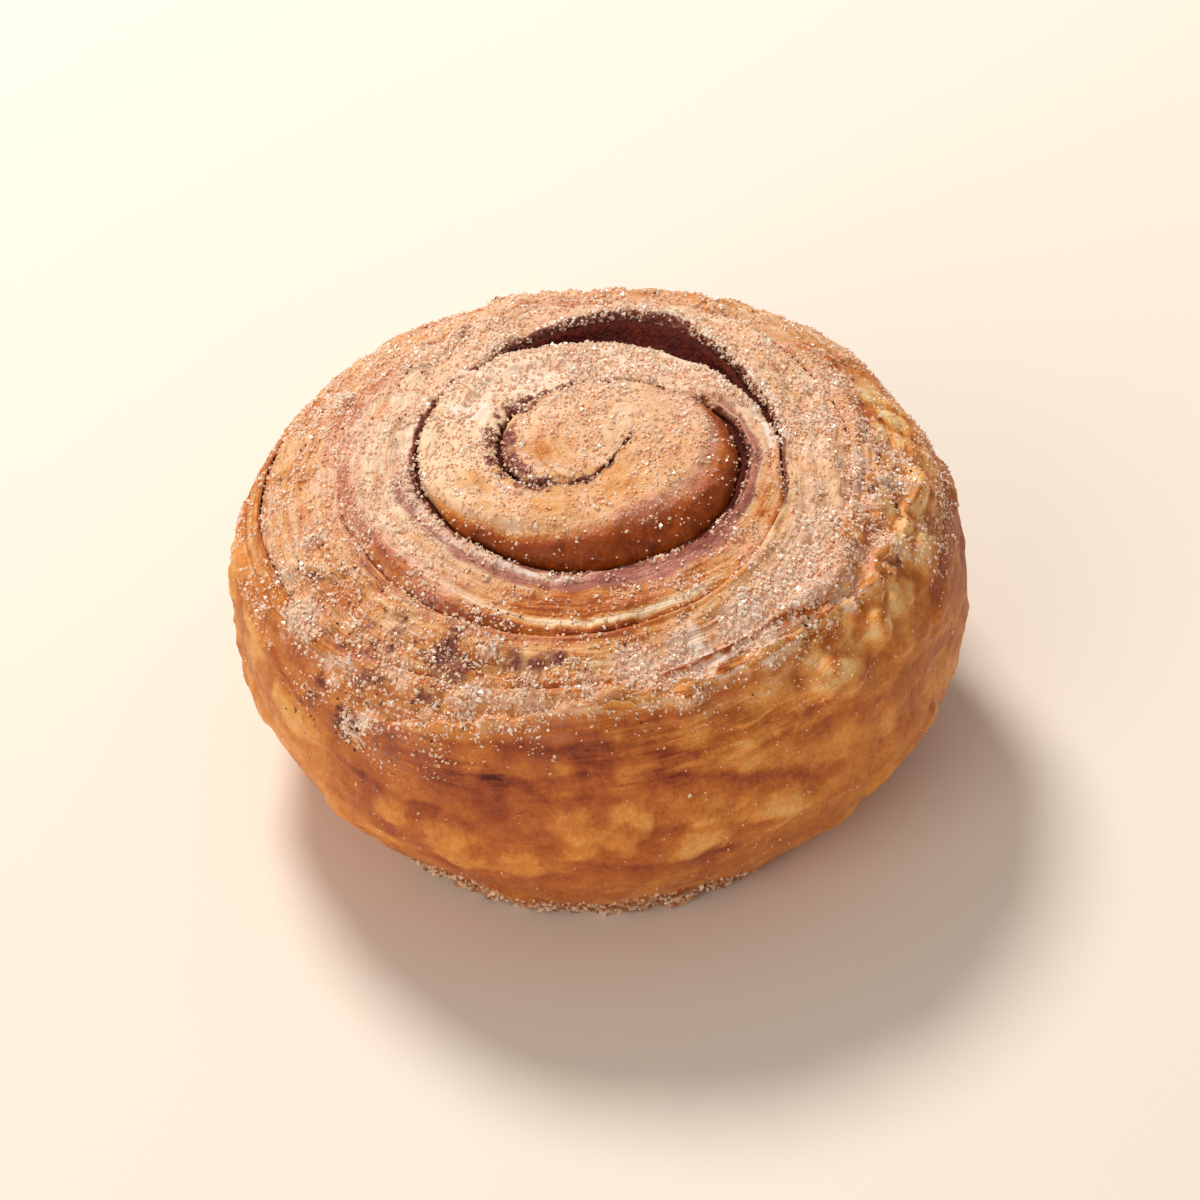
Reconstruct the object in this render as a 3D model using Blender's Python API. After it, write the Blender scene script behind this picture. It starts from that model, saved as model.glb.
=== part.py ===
"""Morning bun: one strip of laminated dough coiled flat, with a ribbon of cinnamon filling.

The bun stands with its cut face up. Seen from above the strip runs outward clockwise from the
heart, and a turn is counted from the heart's end of the slot, which lies on the +X side.
"""

import bmesh
import bpy
import numpy as np

MM = 0.001

# Outside form, in millimetres
BULGE_RADIUS = 54.0
BULGE_HEIGHT = 24.0
DOME_HEIGHT = 53.9
BASE_RADIUS = 39.8
DOME_POWER = 3.2
FLARE_POWER = 0.95
OVAL_SHARE = 0.01
OVAL_ANGLE = 1.93

# Slot between the turns: distance from the axis over the dome, one value each quarter turn
SLOT_ARC = (7.2, 9.8, 12.6, 12.6, 22.2, 25.6, 24.8, 24.9, 27.8, 38.0, 37.0, 39.5, 38.8, 47.0,
            51.0, 53.2, 55.2, 55.7)
# The same in the heart's small curl, one value each eighth of a turn
CURL_ARC = (7.2, 6.2, 9.8, 13.1, 12.6, 12.1, 12.6, 15.5, 22.2, 24.6)
CURL_FADE_START = 0.9
CURL_FADE_TURNS = 0.1
SLOT_HALF_WIDTH = 0.75
PINCHED_HALF_WIDTH = 0.3
PINCH_DEPTH = 1.8
SLOT_NOSE_TURNS = 0.06
HEART_START_TURNS = (0.0, 0.008, 0.02)
OPEN_UNTIL_TURN = 1.95
CLOSING_TURNS = 0.15
EXIT_TURN = 3.9

# Crescent at the back, where the slot stands wide open
CRESCENT_TURN = 1.8
CRESCENT_TURNS = 0.085
CRESCENT_LEAN = 8.5
LEAN_DEPTH = 6.0

# Height of each turn above or below the dome, one value each quarter turn
TURN_RISE = (1.0, 1.0, 1.1, 1.1, 1.0, 1.1, 0.7, 0.3, -0.9, -1.8, 0.2, 0.1, -0.8, -1.2, -0.9,
             -0.2, 0.0, 0.0)
EDGE_DROP = 0.9
EDGE_WIDTH = 2.2

# Bare shoulder of the heart, at the front right
SHOULDER_TURN = 1.17
SHOULDER_TURNS = 0.24
SHOULDER_DROP = 4.0
SHOULDER_WIDTH = 6.3

# Ridge at the front left, where the second turn stands over the third
RIDGE_TURN = 2.4
RIDGE_TURNS = 0.12
RIDGE_DROP = 1.0
RIDGE_WIDTH = 2.2

# Ruffled rim of flakes on the outermost turn, at the front right
FLAKE_TURN = 4.11
FLAKE_TURNS = 0.085
FLAKE_RISE = 1.2
FLAKE_WIDTH = 3.0
FLAKES_PER_TURN = 31
RUFFLE_MEAN = 0.65
RUFFLE_SWING = 0.35

# Loose outer end of the strip
SETTLE_TURNS = 0.1
TAIL_TURNS = 0.12
TAIL_LIFT = 0.9
TAIL_NOSE_TURNS = 0.012
TAIL_NOSE_SHARE = 0.35
TAIL_NOSE_PARTS = (0.5, 0.85, 1.0)

# Unevenness of the outside: waves around it, as height, count, start and slant down the side
SWELL_WAVES = ((0.35, 3, 0.7, 0.0), (0.25, 5, -1.9, 0.0), (0.18, 9, 0.0, 0.12),
               (0.14, 13, 0.0, -0.2))
SWELL_TOP_ARC = 40.0
SWELL_TOP_FADE = 25.0
SWELL_BASE_FADE = 8.0

# Ribbon of filling
RIBBON_HALF_WIDTH = 0.42
RIBBON_START_STEPS = 3
RIBBON_LAST_TURN = 3.6
RIBBON_BOTTOM = 0.4
RIBBON_TOP_DEPTH = 0.6
PINCHED_TOP_DEPTH = 2.6

# Mesh
MERGE_DISTANCE = 0.000001
SHORTEST_STEP = 0.004
NORMAL_REACH = 0.1
STEPS_PER_TURN = (36, 36, 36, 48, 72)
RIBBON_STEPS_PER_TURN = (36, 36, 36, 36)
CROWN_SHARES = (0.05, 0.13, 0.26, 0.44, 0.62, 0.79, 0.92)
OUTER_ARC_START = 62.0
WALL_HEIGHT_SHARES = (0.0, 0.3, 0.55, 0.8, 1.0)
WALL_DEPTHS = (3.6, PINCH_DEPTH)

# Looks, as plain colours and roughness
DOUGH_COLOUR = (0.66, 0.36, 0.13)
DOUGH_ROUGHNESS = 0.6
FILLING_COLOUR = (0.10, 0.035, 0.025)
FILLING_ROUGHNESS = 0.7


def outside_curve():
    """Radius, height and length along the outside from the top of the dome to the base."""
    lean = np.linspace(0.0, np.pi / 2, 400)
    dome_radius = BULGE_RADIUS * np.sin(lean) ** (2 / DOME_POWER)
    dome_height = BULGE_HEIGHT + (DOME_HEIGHT - BULGE_HEIGHT) * np.cos(lean) ** (2 / DOME_POWER)
    flare_height = np.linspace(BULGE_HEIGHT, 0.0, 200)[1:]
    flare = np.sin(np.pi / 2 * flare_height / BULGE_HEIGHT) ** FLARE_POWER
    flare_radius = BASE_RADIUS + (BULGE_RADIUS - BASE_RADIUS) * flare
    radius = np.concatenate([dome_radius, flare_radius])
    height = np.concatenate([dome_height, flare_height])
    length = np.concatenate([[0.0], np.cumsum(np.hypot(np.diff(radius), np.diff(height)))])
    return radius, height, length


CURVE_RADIUS, CURVE_HEIGHT, CURVE_LENGTH = outside_curve()
DOME_COUNT = int(np.argmax(CURVE_RADIUS)) + 1


def smooth(value):
    """Ease from 0 to 1 as the value goes from 0 to 1."""
    value = np.clip(value, 0.0, 1.0)
    return value * value * (3 - 2 * value)


def hump(value, centre, reach):
    """Bell that is 1 at the centre and fades over the reach."""
    return float(np.exp(-(((value - centre) / reach) ** 2)))


def by_step(values, spot):
    """Smooth curve through evenly spaced values, at a spot counted in steps."""
    spot = np.clip(spot, 0.0, len(values) - 1.001)
    first = int(spot)
    part = spot - first
    before = values[max(first - 1, 0)]
    here = values[first]
    after = values[first + 1]
    beyond = values[min(first + 2, len(values) - 1)]
    bend = 2 * before - 5 * here + 4 * after - beyond
    twist = 3 * here - before - 3 * after + beyond
    return 0.5 * (2 * here + (after - before) * part + bend * part**2 + twist * part**3)


def by_quarter(values, turn):
    return by_step(values, turn * 4)


def slot_arc(turn):
    """Distance of the slot from the axis, along the dome."""
    share = float(smooth((turn - CURL_FADE_START) / CURL_FADE_TURNS))
    return by_step(CURL_ARC, turn * 8) * (1 - share) + by_quarter(SLOT_ARC, turn) * share


def curve_point(arc):
    """Radius and height of the outside at a length along its curve."""
    return np.interp(arc, CURVE_LENGTH, CURVE_RADIUS), np.interp(arc, CURVE_LENGTH, CURVE_HEIGHT)


def arc_at_radius(radius):
    """Length along the dome at which it has a radius."""
    return float(np.interp(radius, CURVE_RADIUS[:DOME_COUNT], CURVE_LENGTH[:DOME_COUNT]))


def taper(height):
    """Share of its full radius that the coil has at a height, less toward the base."""
    flare = np.sin(np.pi / 2 * np.clip(height / BULGE_HEIGHT, 0.0, 1.0)) ** FLARE_POWER
    return (BASE_RADIUS + (BULGE_RADIUS - BASE_RADIUS) * flare) / BULGE_RADIUS


def swell(angle, arc):
    """Unevenness of the outside, along its normal."""
    from_top = smooth((arc - SWELL_TOP_ARC) / SWELL_TOP_FADE)
    from_base = smooth((CURVE_LENGTH[-1] - arc) / SWELL_BASE_FADE)
    total = 0.0
    for height, count, start, slant in SWELL_WAVES:
        total += height * np.sin(count * angle + start + slant * arc)
    return from_top * from_base * total


def openness(turn):
    """1 where the filling shows in the slot, 0 where the turns have baked together."""
    return 1.0 - float(smooth((turn - OPEN_UNTIL_TURN) / CLOSING_TURNS))


def slot_half_width(turn, depth):
    """Half the slot's width, which is pinched near the top where the turns have met."""
    free = max(openness(turn), float(smooth(depth / PINCH_DEPTH)))
    width = PINCHED_HALF_WIDTH + (SLOT_HALF_WIDTH - PINCHED_HALF_WIDTH) * free
    return width * np.sqrt(np.clip(turn / SLOT_NOSE_TURNS, 0.0, 1.0))


def slot_lean(turn, depth):
    """Outward lean of the slot's outer wall in the crescent."""
    return CRESCENT_LEAN * hump(turn, CRESCENT_TURN, CRESCENT_TURNS) * float(
        smooth(1.0 - depth / LEAN_DEPTH))


def wall_radius(turn, side, height, top):
    """Radius of a slot wall at a height, side +1 for the outer wall and -1 for the inner one."""
    depth = top - height
    middle = curve_point(slot_arc(turn))[0] * taper(height)
    lean = slot_lean(turn, depth) if side > 0 else 0.0
    return middle + lean + side * slot_half_width(turn, depth)


def edge_arc(turn, side):
    """Length along the dome at which a slot wall comes out on top."""
    return arc_at_radius(wall_radius(turn, side, DOME_HEIGHT, DOME_HEIGHT))


def rounding(distance, width):
    """1 at an edge and 0 from the width inward, round like a quarter circle."""
    share = 1.0 - np.clip(distance / width, 0.0, 1.0)
    return 1.0 - np.sqrt(1.0 - share * share)


def shoulder(turn):
    """Drop and width of the strip's outer edge, larger at the heart's shoulder and the ridge."""
    bare = hump(turn, SHOULDER_TURN, SHOULDER_TURNS)
    ridge = hump(turn, RIDGE_TURN, RIDGE_TURNS)
    drop = EDGE_DROP + SHOULDER_DROP * bare + RIDGE_DROP * ridge
    return drop, EDGE_WIDTH + SHOULDER_WIDTH * bare + RIDGE_WIDTH * ridge


def crown_rise(turn, from_inner, from_outer):
    """Height of the strip's top over the dome, from the distances to its two edges."""
    drop, width = shoulder(turn)
    inner_fall = EDGE_DROP * rounding(from_inner, EDGE_WIDTH)
    outer_fall = drop * rounding(from_outer, width)
    return by_quarter(TURN_RISE, turn) - max(inner_fall, outer_fall)


def flake_rise(turn, from_edge):
    """Height of the ruffled rim over the outermost turn's inner edge."""
    ruffle = RUFFLE_MEAN + RUFFLE_SWING * np.sin(2 * np.pi * FLAKES_PER_TURN * turn)
    size = FLAKE_RISE * hump(turn, FLAKE_TURN, FLAKE_TURNS)
    return size * ruffle * hump(from_edge, FLAKE_WIDTH / 2, FLAKE_WIDTH)


def turn_angle(turn):
    return -2 * np.pi * turn


def place(angle, radius, height):
    """Point in metres, with the bun's slight oval."""
    radius = radius * (1 + OVAL_SHARE * np.cos(2 * (angle - OVAL_ANGLE)))
    return np.array([radius * np.cos(angle), radius * np.sin(angle), height]) * MM


def outside_point(angle, arc, lift):
    """Point on the outside, lifted along its normal."""
    radius, height = curve_point(arc)
    radius_after, height_after = curve_point(arc + NORMAL_REACH)
    radius_before, height_before = curve_point(arc - NORMAL_REACH)
    across = radius_after - radius_before
    along = height_after - height_before
    size = np.hypot(across, along)
    return place(angle, radius - lift * along / size, height + lift * across / size)


def crown_point(turn, start, end, share):
    """Point on top of the strip, between two edges given as flat vectors of arc length."""
    spot = start + (end - start) * share
    arc = float(np.hypot(spot[0], spot[1]))
    angle = float(np.arctan2(spot[1], spot[0]))
    reach = float(np.hypot(*(end - start)))
    rise = crown_rise(turn, share * reach, (1 - share) * reach)
    radius, height = curve_point(arc)
    return place(angle, radius, height + rise)


def flat(turn, arc):
    angle = turn_angle(turn)
    return np.array([arc * np.cos(angle), arc * np.sin(angle)])


def wall_levels(top):
    """Heights of the wall points from the base up."""
    foot = top - LEAN_DEPTH
    return [share * foot for share in WALL_HEIGHT_SHARES] + [top - depth for depth in WALL_DEPTHS]


def slot_side(turn, side, rise):
    """Edge of a slot wall as a flat vector, and the wall's points from the base up to the edge."""
    arc = edge_arc(turn, side)
    radius, height = curve_point(arc)
    top = height + rise
    angle = turn_angle(turn)
    wall = [place(angle, wall_radius(turn, side, z, top), z) for z in wall_levels(top)]
    return flat(turn, arc), wall + [place(angle, radius, top)]


def inner_side(turn):
    """Inner edge and wall of the strip, which in the heart are the end of the slot."""
    turn = max(turn, 1.0)
    return slot_side(turn - 1.0, 1, by_quarter(TURN_RISE, turn) - EDGE_DROP)


def coil_section(turn):
    """Closed section of the strip with another turn of the coil outside it."""
    start, inner_wall = inner_side(turn)
    end, outer_wall = slot_side(turn, -1, by_quarter(TURN_RISE, turn) - shoulder(turn)[0])
    crown = [crown_point(turn, start, end, share) for share in CROWN_SHARES]
    return np.array(inner_wall + crown + outer_wall[::-1])


def outer_section(turn):
    """Closed section of the outermost turn, whose outer side is the bun's outside."""
    start, inner_wall = inner_side(turn)
    angle = turn_angle(turn)
    first_arc = float(np.hypot(start[0], start[1]))
    lift = TAIL_LIFT * float(smooth(1.0 - (EXIT_TURN + 1.0 - turn) / TAIL_TURNS))
    rise = by_quarter(TURN_RISE, turn)
    crown = []
    for share in CROWN_SHARES:
        arc = first_arc + (OUTER_ARC_START - first_arc) * share
        from_edge = arc - first_arc
        edge = rounding(from_edge, EDGE_WIDTH)
        level = rise - EDGE_DROP * edge + lift * (1 - edge) + flake_rise(turn, from_edge)
        crown.append(outside_point(angle, arc, level + swell(angle, arc)))
    count = len(inner_wall) - 1
    last_arc = CURVE_LENGTH[-1]
    outer_wall = []
    for step in range(count):
        arc = OUTER_ARC_START + (last_arc - OUTER_ARC_START) * step / count
        outer_wall.append(outside_point(angle, arc, lift + swell(angle, arc)))
    outer_wall.append(place(angle, BASE_RADIUS + lift, 0.0))
    return np.array(inner_wall + crown + outer_wall)


def strip_section(turn):
    """Section of the strip anywhere along it."""
    if turn <= EXIT_TURN:
        return coil_section(turn)
    share = float(smooth((turn - EXIT_TURN) / SETTLE_TURNS))
    if share >= 1.0:
        return outer_section(turn)
    return coil_section(turn) * (1 - share) + outer_section(turn) * share


def tail_section(section, share):
    """Section drawn in toward its inner wall, for the rounded end of the strip."""
    wall_count = len(WALL_HEIGHT_SHARES) + len(WALL_DEPTHS) + 1
    inner = section[:wall_count]
    radii = np.hypot(inner[:, 0], inner[:, 1])
    direction = inner[0, :2] / radii[0]
    drawn = section.copy()
    for point in drawn[wall_count:]:
        own = np.hypot(point[0], point[1])
        height = min(point[2], inner[-1, 2])
        target = np.interp(height, inner[:, 2], radii)
        point[:2] = direction * (target + (own - target) * share)
    return drawn


def turns_between(first, last, steps_per_turn):
    """Turn values along the strip, closer together in its outer turns."""
    turns = [first]
    while turns[-1] < last:
        steps = steps_per_turn[min(int(turns[-1]), len(steps_per_turn) - 1)]
        turns.append(min(turns[-1] + 1.0 / steps, last))
    if turns[-1] - turns[-2] < SHORTEST_STEP:
        del turns[-2]
    return turns


def mesh_from_sections(name, sections, material):
    """One closed body through a row of sections, flat at both ends."""
    count = len(sections[0])
    points = np.concatenate(sections)
    faces = []
    for row in range(len(sections) - 1):
        for column in range(count):
            after = (column + 1) % count
            low = row * count
            high = low + count
            faces.append((low + column, high + column, high + after, low + after))
    mesh = bpy.data.meshes.new(name)
    mesh.from_pydata([tuple(point) for point in points], [], faces)
    tidy = bmesh.new()
    tidy.from_mesh(mesh)
    bmesh.ops.remove_doubles(tidy, verts=tidy.verts, dist=MERGE_DISTANCE)
    open_edges = [edge for edge in tidy.edges if edge.is_boundary]
    bmesh.ops.holes_fill(tidy, edges=open_edges, sides=0)
    bmesh.ops.triangulate(tidy, faces=tidy.faces)
    bmesh.ops.recalc_face_normals(tidy, faces=tidy.faces)
    tidy.to_mesh(mesh)
    tidy.free()
    mesh.materials.append(material)
    thing = bpy.data.objects.new(name, mesh)
    bpy.context.scene.collection.objects.link(thing)
    return thing


def material(name, colour, roughness):
    made = bpy.data.materials.new(name)
    made.use_nodes = True
    shader = made.node_tree.nodes["Principled BSDF"]
    shader.inputs["Base Color"].default_value = (*colour, 1.0)
    shader.inputs["Roughness"].default_value = roughness
    return made


def make_dough():
    last_turn = EXIT_TURN + 1.0
    nose_turn = last_turn - TAIL_NOSE_TURNS
    turns = list(HEART_START_TURNS[:-1])
    turns += turns_between(HEART_START_TURNS[-1], nose_turn, STEPS_PER_TURN)
    sections = [strip_section(turn) for turn in turns]
    for part in TAIL_NOSE_PARTS:
        turn = nose_turn + TAIL_NOSE_TURNS * part
        share = TAIL_NOSE_SHARE + (1 - TAIL_NOSE_SHARE) * np.sqrt(1.0 - part * part)
        sections.append(tail_section(strip_section(turn), share))
    golden = material("dough", DOUGH_COLOUR, DOUGH_ROUGHNESS)
    return mesh_from_sections("dough", sections, golden)


def ribbon_lean(turn, depth):
    """Lean of the wall behind the filling, straight from the wall's last level to its edge."""
    if depth >= PINCH_DEPTH:
        return slot_lean(turn, depth)
    share = depth / PINCH_DEPTH
    return slot_lean(turn, 0.0) * (1 - share) + slot_lean(turn, PINCH_DEPTH) * share


def ribbon_section(turn):
    """Closed section of the filling, which follows the slot's outer wall."""
    shown = openness(turn)
    depth = PINCHED_TOP_DEPTH + (RIBBON_TOP_DEPTH - PINCHED_TOP_DEPTH) * shown
    edge = edge_arc(turn, 1)
    rim = curve_point(edge)[1] + by_quarter(TURN_RISE, turn + 1.0) - EDGE_DROP
    levels = [RIBBON_BOTTOM] + wall_levels(rim)[1:-1] + [rim - depth]
    angle = turn_angle(turn)
    outer = []
    inner = []
    for z in levels:
        middle = curve_point(slot_arc(turn))[0] * taper(z) + ribbon_lean(turn, rim - z)
        outer.append(place(angle, middle + RIBBON_HALF_WIDTH, z))
        inner.append(place(angle, middle - RIBBON_HALF_WIDTH, z))
    return np.array(inner + outer[::-1])


def make_filling():
    first = HEART_START_TURNS[-1] + RIBBON_START_STEPS / RIBBON_STEPS_PER_TURN[0]
    turns = turns_between(first, RIBBON_LAST_TURN, RIBBON_STEPS_PER_TURN)
    sections = [ribbon_section(turn) for turn in turns]
    brown = material("cinnamon_filling", FILLING_COLOUR, FILLING_ROUGHNESS)
    return mesh_from_sections("cinnamon_filling", sections, brown)


def centre_over_origin(things):
    """Move the bun so that the middle of its base box is the origin."""
    points = np.array([vertex.co[:] for thing in things for vertex in thing.data.vertices])
    middle = (points.min(axis=0) + points.max(axis=0)) / 2
    for thing in things:
        for vertex in thing.data.vertices:
            vertex.co.x -= middle[0]
            vertex.co.y -= middle[1]


def make_bun():
    for thing in list(bpy.data.objects):
        bpy.data.objects.remove(thing, do_unlink=True)
    centre_over_origin([make_dough(), make_filling()])


make_bun()
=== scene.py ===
"""Looks of the morning bun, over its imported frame.

The dough, its cinnamon filling, its flakes and its sugar are built in millimetres around the
bun's own axis, as in the solids, and moved into the frame at the end. The strip of dough runs
outward clockwise, and a turn is counted from the heart's end of the slot, on the +X side.
"""

from functools import reduce
from types import SimpleNamespace

import bmesh
import bpy
import numpy as np
from mathutils import Matrix, Vector


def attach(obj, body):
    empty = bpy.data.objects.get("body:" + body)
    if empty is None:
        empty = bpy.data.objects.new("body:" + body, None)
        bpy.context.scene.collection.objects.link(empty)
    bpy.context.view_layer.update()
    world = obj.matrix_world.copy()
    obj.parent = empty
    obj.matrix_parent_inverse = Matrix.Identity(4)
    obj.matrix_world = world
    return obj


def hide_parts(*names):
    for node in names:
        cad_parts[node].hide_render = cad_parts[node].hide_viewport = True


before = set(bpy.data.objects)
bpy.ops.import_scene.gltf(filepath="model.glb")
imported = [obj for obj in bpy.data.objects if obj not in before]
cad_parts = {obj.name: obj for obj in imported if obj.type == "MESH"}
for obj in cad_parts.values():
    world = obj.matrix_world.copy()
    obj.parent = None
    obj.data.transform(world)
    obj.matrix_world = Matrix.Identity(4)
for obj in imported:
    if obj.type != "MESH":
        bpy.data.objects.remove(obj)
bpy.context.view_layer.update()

MM = 0.001
AXIS_PLACE = np.array([-0.017, 0.430, 0.0])

# Outside form, in millimetres, as in the solids
BULGE_RADIUS = 54.0
BULGE_HEIGHT = 24.0
DOME_HEIGHT = 53.9
BASE_RADIUS = 39.8
DOME_POWER = 3.2
FLARE_POWER = 0.95
OVAL_SHARE = 0.01
OVAL_ANGLE = 1.93

# Slot between the turns, and the turns' heights, one value each quarter turn from the heart
SLOT_ARC = (7.2, 9.8, 12.6, 12.6, 22.2, 25.6, 24.8, 24.9, 27.8, 38.0, 37.0, 39.5, 38.8, 47.0,
            51.0, 53.2, 55.2, 55.7)
CURL_ARC = (7.2, 6.2, 9.8, 13.1, 12.6, 12.1, 12.6, 15.5, 22.2, 24.6)
CURL_FADE_START = 0.9
CURL_FADE_TURNS = 0.1
SLOT_WOBBLE = 0.32
TURN_RISE = (1.0, 1.0, 1.1, 1.1, 1.0, 1.1, 0.7, 0.3, -0.9, -1.8, 0.2, 0.1, -0.8, -1.2, -0.9,
             -0.2, 0.0, 0.0)
SLOT_HALF_WIDTH = 0.75
# Half width of the slot's mouth along its turns
MOUTH_TURNS = (0.0, 0.25, 0.36, 0.62, 0.75, 0.93, 1.0, 1.3, 1.35, 1.39, 1.42, 1.49, 1.53, 1.66,
               1.72, 1.95, 2.02, 2.1)
MOUTH_WIDTHS = (0.06, 0.14, 0.5, 0.5, 0.3, 0.45, 0.75, 0.75, 0.45, 0.2, 0.5, 0.5, 0.12, 0.12,
                0.75, 0.75, 0.12, 0.02)
PINCH_DEPTH = 1.8
SLOT_NOSE_TURNS = 0.06
OPEN_UNTIL_TURN = 1.95
OPEN_FADE_TURNS = 0.15
EXIT_TURN = 3.9
LAST_TURN = 4.9
CRESCENT_TURN = 1.8
CRESCENT_TURNS = 0.085
CRESCENT_LEAN = 8.5
LEAN_DEPTH = 6.0
EDGE_DROP = 0.9
PINCHED_EDGE_DROP = 0.6
EDGE_WIDTH = 2.2
SHOULDER_TURN = 1.17
SHOULDER_TURNS = 0.24
SHOULDER_DROP = 4.0
SHOULDER_WIDTH = 6.3
RIDGE_TURN = 2.4
RIDGE_TURNS = 0.12
RIDGE_DROP = 1.9
RIDGE_WIDTH = 2.2
RUFFLE_TURN = 4.11
RUFFLE_TURNS = 0.085
RUFFLE_RISE = 1.2
RUFFLE_WIDTH = 3.0
RUFFLES_PER_TURN = 31
SETTLE_TURNS = 0.1
TAIL_TURNS = 0.12
TAIL_LIFT = 0.9
TAIL_NOSE_TURNS = 0.012
TAIL_NOSE_SHARE = 0.35
TAIL_NOSE_PARTS = np.array([0.3, 0.6, 0.85, 1.0])
OUTER_ARC_START = 62.0
# The strip's middle lies about where its slot was this much earlier
MIDDLE_TURNS = 0.4

# Mesh and sampling
DOME_STEPS = 900
FLARE_STEPS = 400
PATH_STEPS = 2001
NORMAL_STEP = 0.4
STEPS_PER_TURN = (110, 200, 290, 380, 500)
CROWN_POINTS = 28
WRAP_CROWN_POINTS = 42
SIDE_POINTS = 50
FIRST_TURNS = (0.0, 0.008)
WALL_LEVELS = ((0.0, 0.3, 0.55, 0.8, 1.0), (4.2, 2.6, 1.4, 0.5))
SIDE_DEPTHS = (4.8, 3.6, 2.4, 1.2, 0.6)
SIDE_LEVELS = (np.linspace(0.0, 1.0, SIDE_POINTS - len(SIDE_DEPTHS) - 1), SIDE_DEPTHS)
WALL_COUNT = len(WALL_LEVELS[0]) + len(WALL_LEVELS[1]) + 1
# Distance given to points with no slot beside them
NO_EDGE_NEAR = 30.0


def outside_curve():
    """Radius, height and length along the outside from the top of the dome to the base."""
    lean = np.linspace(0.0, np.pi / 2, DOME_STEPS)
    dome_radius = BULGE_RADIUS * np.sin(lean) ** (2 / DOME_POWER)
    dome_height = BULGE_HEIGHT + (DOME_HEIGHT - BULGE_HEIGHT) * np.cos(lean) ** (2 / DOME_POWER)
    flare_height = np.linspace(BULGE_HEIGHT, 0.0, FLARE_STEPS)[1:]
    flare = np.sin(np.pi / 2 * flare_height / BULGE_HEIGHT) ** FLARE_POWER
    flare_radius = BASE_RADIUS + (BULGE_RADIUS - BASE_RADIUS) * flare
    radius = np.concatenate([dome_radius, flare_radius])
    height = np.concatenate([dome_height, flare_height])
    length = np.concatenate([[0.0], np.cumsum(np.hypot(np.diff(radius), np.diff(height)))])
    return radius, height, length


CURVE_RADIUS, CURVE_HEIGHT, CURVE_LENGTH = outside_curve()
DOME_COUNT = int(np.argmax(CURVE_RADIUS)) + 1
BASE_ARC = float(CURVE_LENGTH[-1])


def smooth(value):
    value = np.clip(value, 0.0, 1.0)
    return value * value * (3 - 2 * value)


def hump(value, centre, reach):
    return np.exp(-(((value - centre) / reach) ** 2))


def mix(first, second, share):
    return first + (second - first) * share


def strongest(*shares):
    return reduce(np.maximum, shares)


def scaled(points, size=1.0):
    """The three coordinates of points, in units of a size."""
    return np.moveaxis(points, -1, 0) / size


def by_quarter(values, turn):
    """Smooth curve through values given at each quarter turn."""
    values = np.asarray(values, dtype=float)
    spot = np.clip(np.asarray(turn, dtype=float) * 4, 0.0, len(values) - 1.001)
    first = spot.astype(int)
    part = spot - first
    before = values[np.maximum(first - 1, 0)]
    here = values[first]
    after = values[first + 1]
    beyond = values[np.minimum(first + 2, len(values) - 1)]
    bend = 2 * before - 5 * here + 4 * after - beyond
    twist = 3 * here - before - 3 * after + beyond
    return 0.5 * (2 * here + (after - before) * part + bend * part**2 + twist * part**3)


LATTICE_SIZE = 48
LATTICE = np.random.default_rng(71).random((LATTICE_SIZE,) * 3) * 2 - 1


def noise(x, y, z):
    """Smooth noise from -1 to 1 that varies over a distance of 1."""
    whole = []
    parts = []
    for value in np.broadcast_arrays(x, y, z):
        floor = np.floor(value)
        whole.append(floor.astype(int) % LATTICE_SIZE)
        parts.append(smooth(value - floor))
    total = 0.0
    for corner in range(8):
        picks = [(corner >> axis) & 1 for axis in range(3)]
        weight = 1.0
        for pick, part in zip(picks, parts):
            weight = weight * (part if pick else 1 - part)
        spots = tuple((base + pick) % LATTICE_SIZE for base, pick in zip(whole, picks))
        total = total + weight * LATTICE[spots]
    return total


def layered(x, y, z, octaves):
    """Sum of noises, each half as large and strong as the one before."""
    total = 0.0
    for octave in range(octaves):
        scale = 2.0**octave
        total = total + noise(x * scale + 7.3 * octave, y * scale, z * scale - 3.1 * octave) / scale
    return total


def slot_arc(turn):
    """Distance of the slot from the axis, along the dome."""
    share = smooth((turn - CURL_FADE_START) / CURL_FADE_TURNS)
    plain = mix(by_quarter(CURL_ARC, 2 * np.asarray(turn)), by_quarter(SLOT_ARC, turn), share)
    return plain + SLOT_WOBBLE * layered(np.asarray(turn) * 28.0, 3.0, 77.0, 3)


def curve_point(arc):
    return np.interp(arc, CURVE_LENGTH, CURVE_RADIUS), np.interp(arc, CURVE_LENGTH, CURVE_HEIGHT)


def curve_normal(arc):
    """Outward direction across the outside, as radius and height parts."""
    radius_after, height_after = curve_point(arc + NORMAL_STEP)
    radius_before, height_before = curve_point(arc - NORMAL_STEP)
    across = radius_after - radius_before
    along = height_after - height_before
    size = np.hypot(across, along)
    return -along / size, across / size


def arc_at_radius(radius):
    return np.interp(radius, CURVE_RADIUS[:DOME_COUNT], CURVE_LENGTH[:DOME_COUNT])


def taper(height):
    flare = np.sin(np.pi / 2 * np.clip(height / BULGE_HEIGHT, 0.0, 1.0)) ** FLARE_POWER
    return (BASE_RADIUS + (BULGE_RADIUS - BASE_RADIUS) * flare) / BULGE_RADIUS


def swell(angle, arc):
    low = smooth((arc - 40.0) / 25.0) * smooth((BASE_ARC - arc) / 8.0)
    waves = 0.35 * np.sin(3 * angle + 0.7) + 0.25 * np.sin(5 * angle - 1.9)
    ripples = 0.18 * np.sin(9 * angle + 0.12 * arc) + 0.14 * np.sin(13 * angle - 0.2 * arc)
    return low * (waves + ripples)


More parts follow.
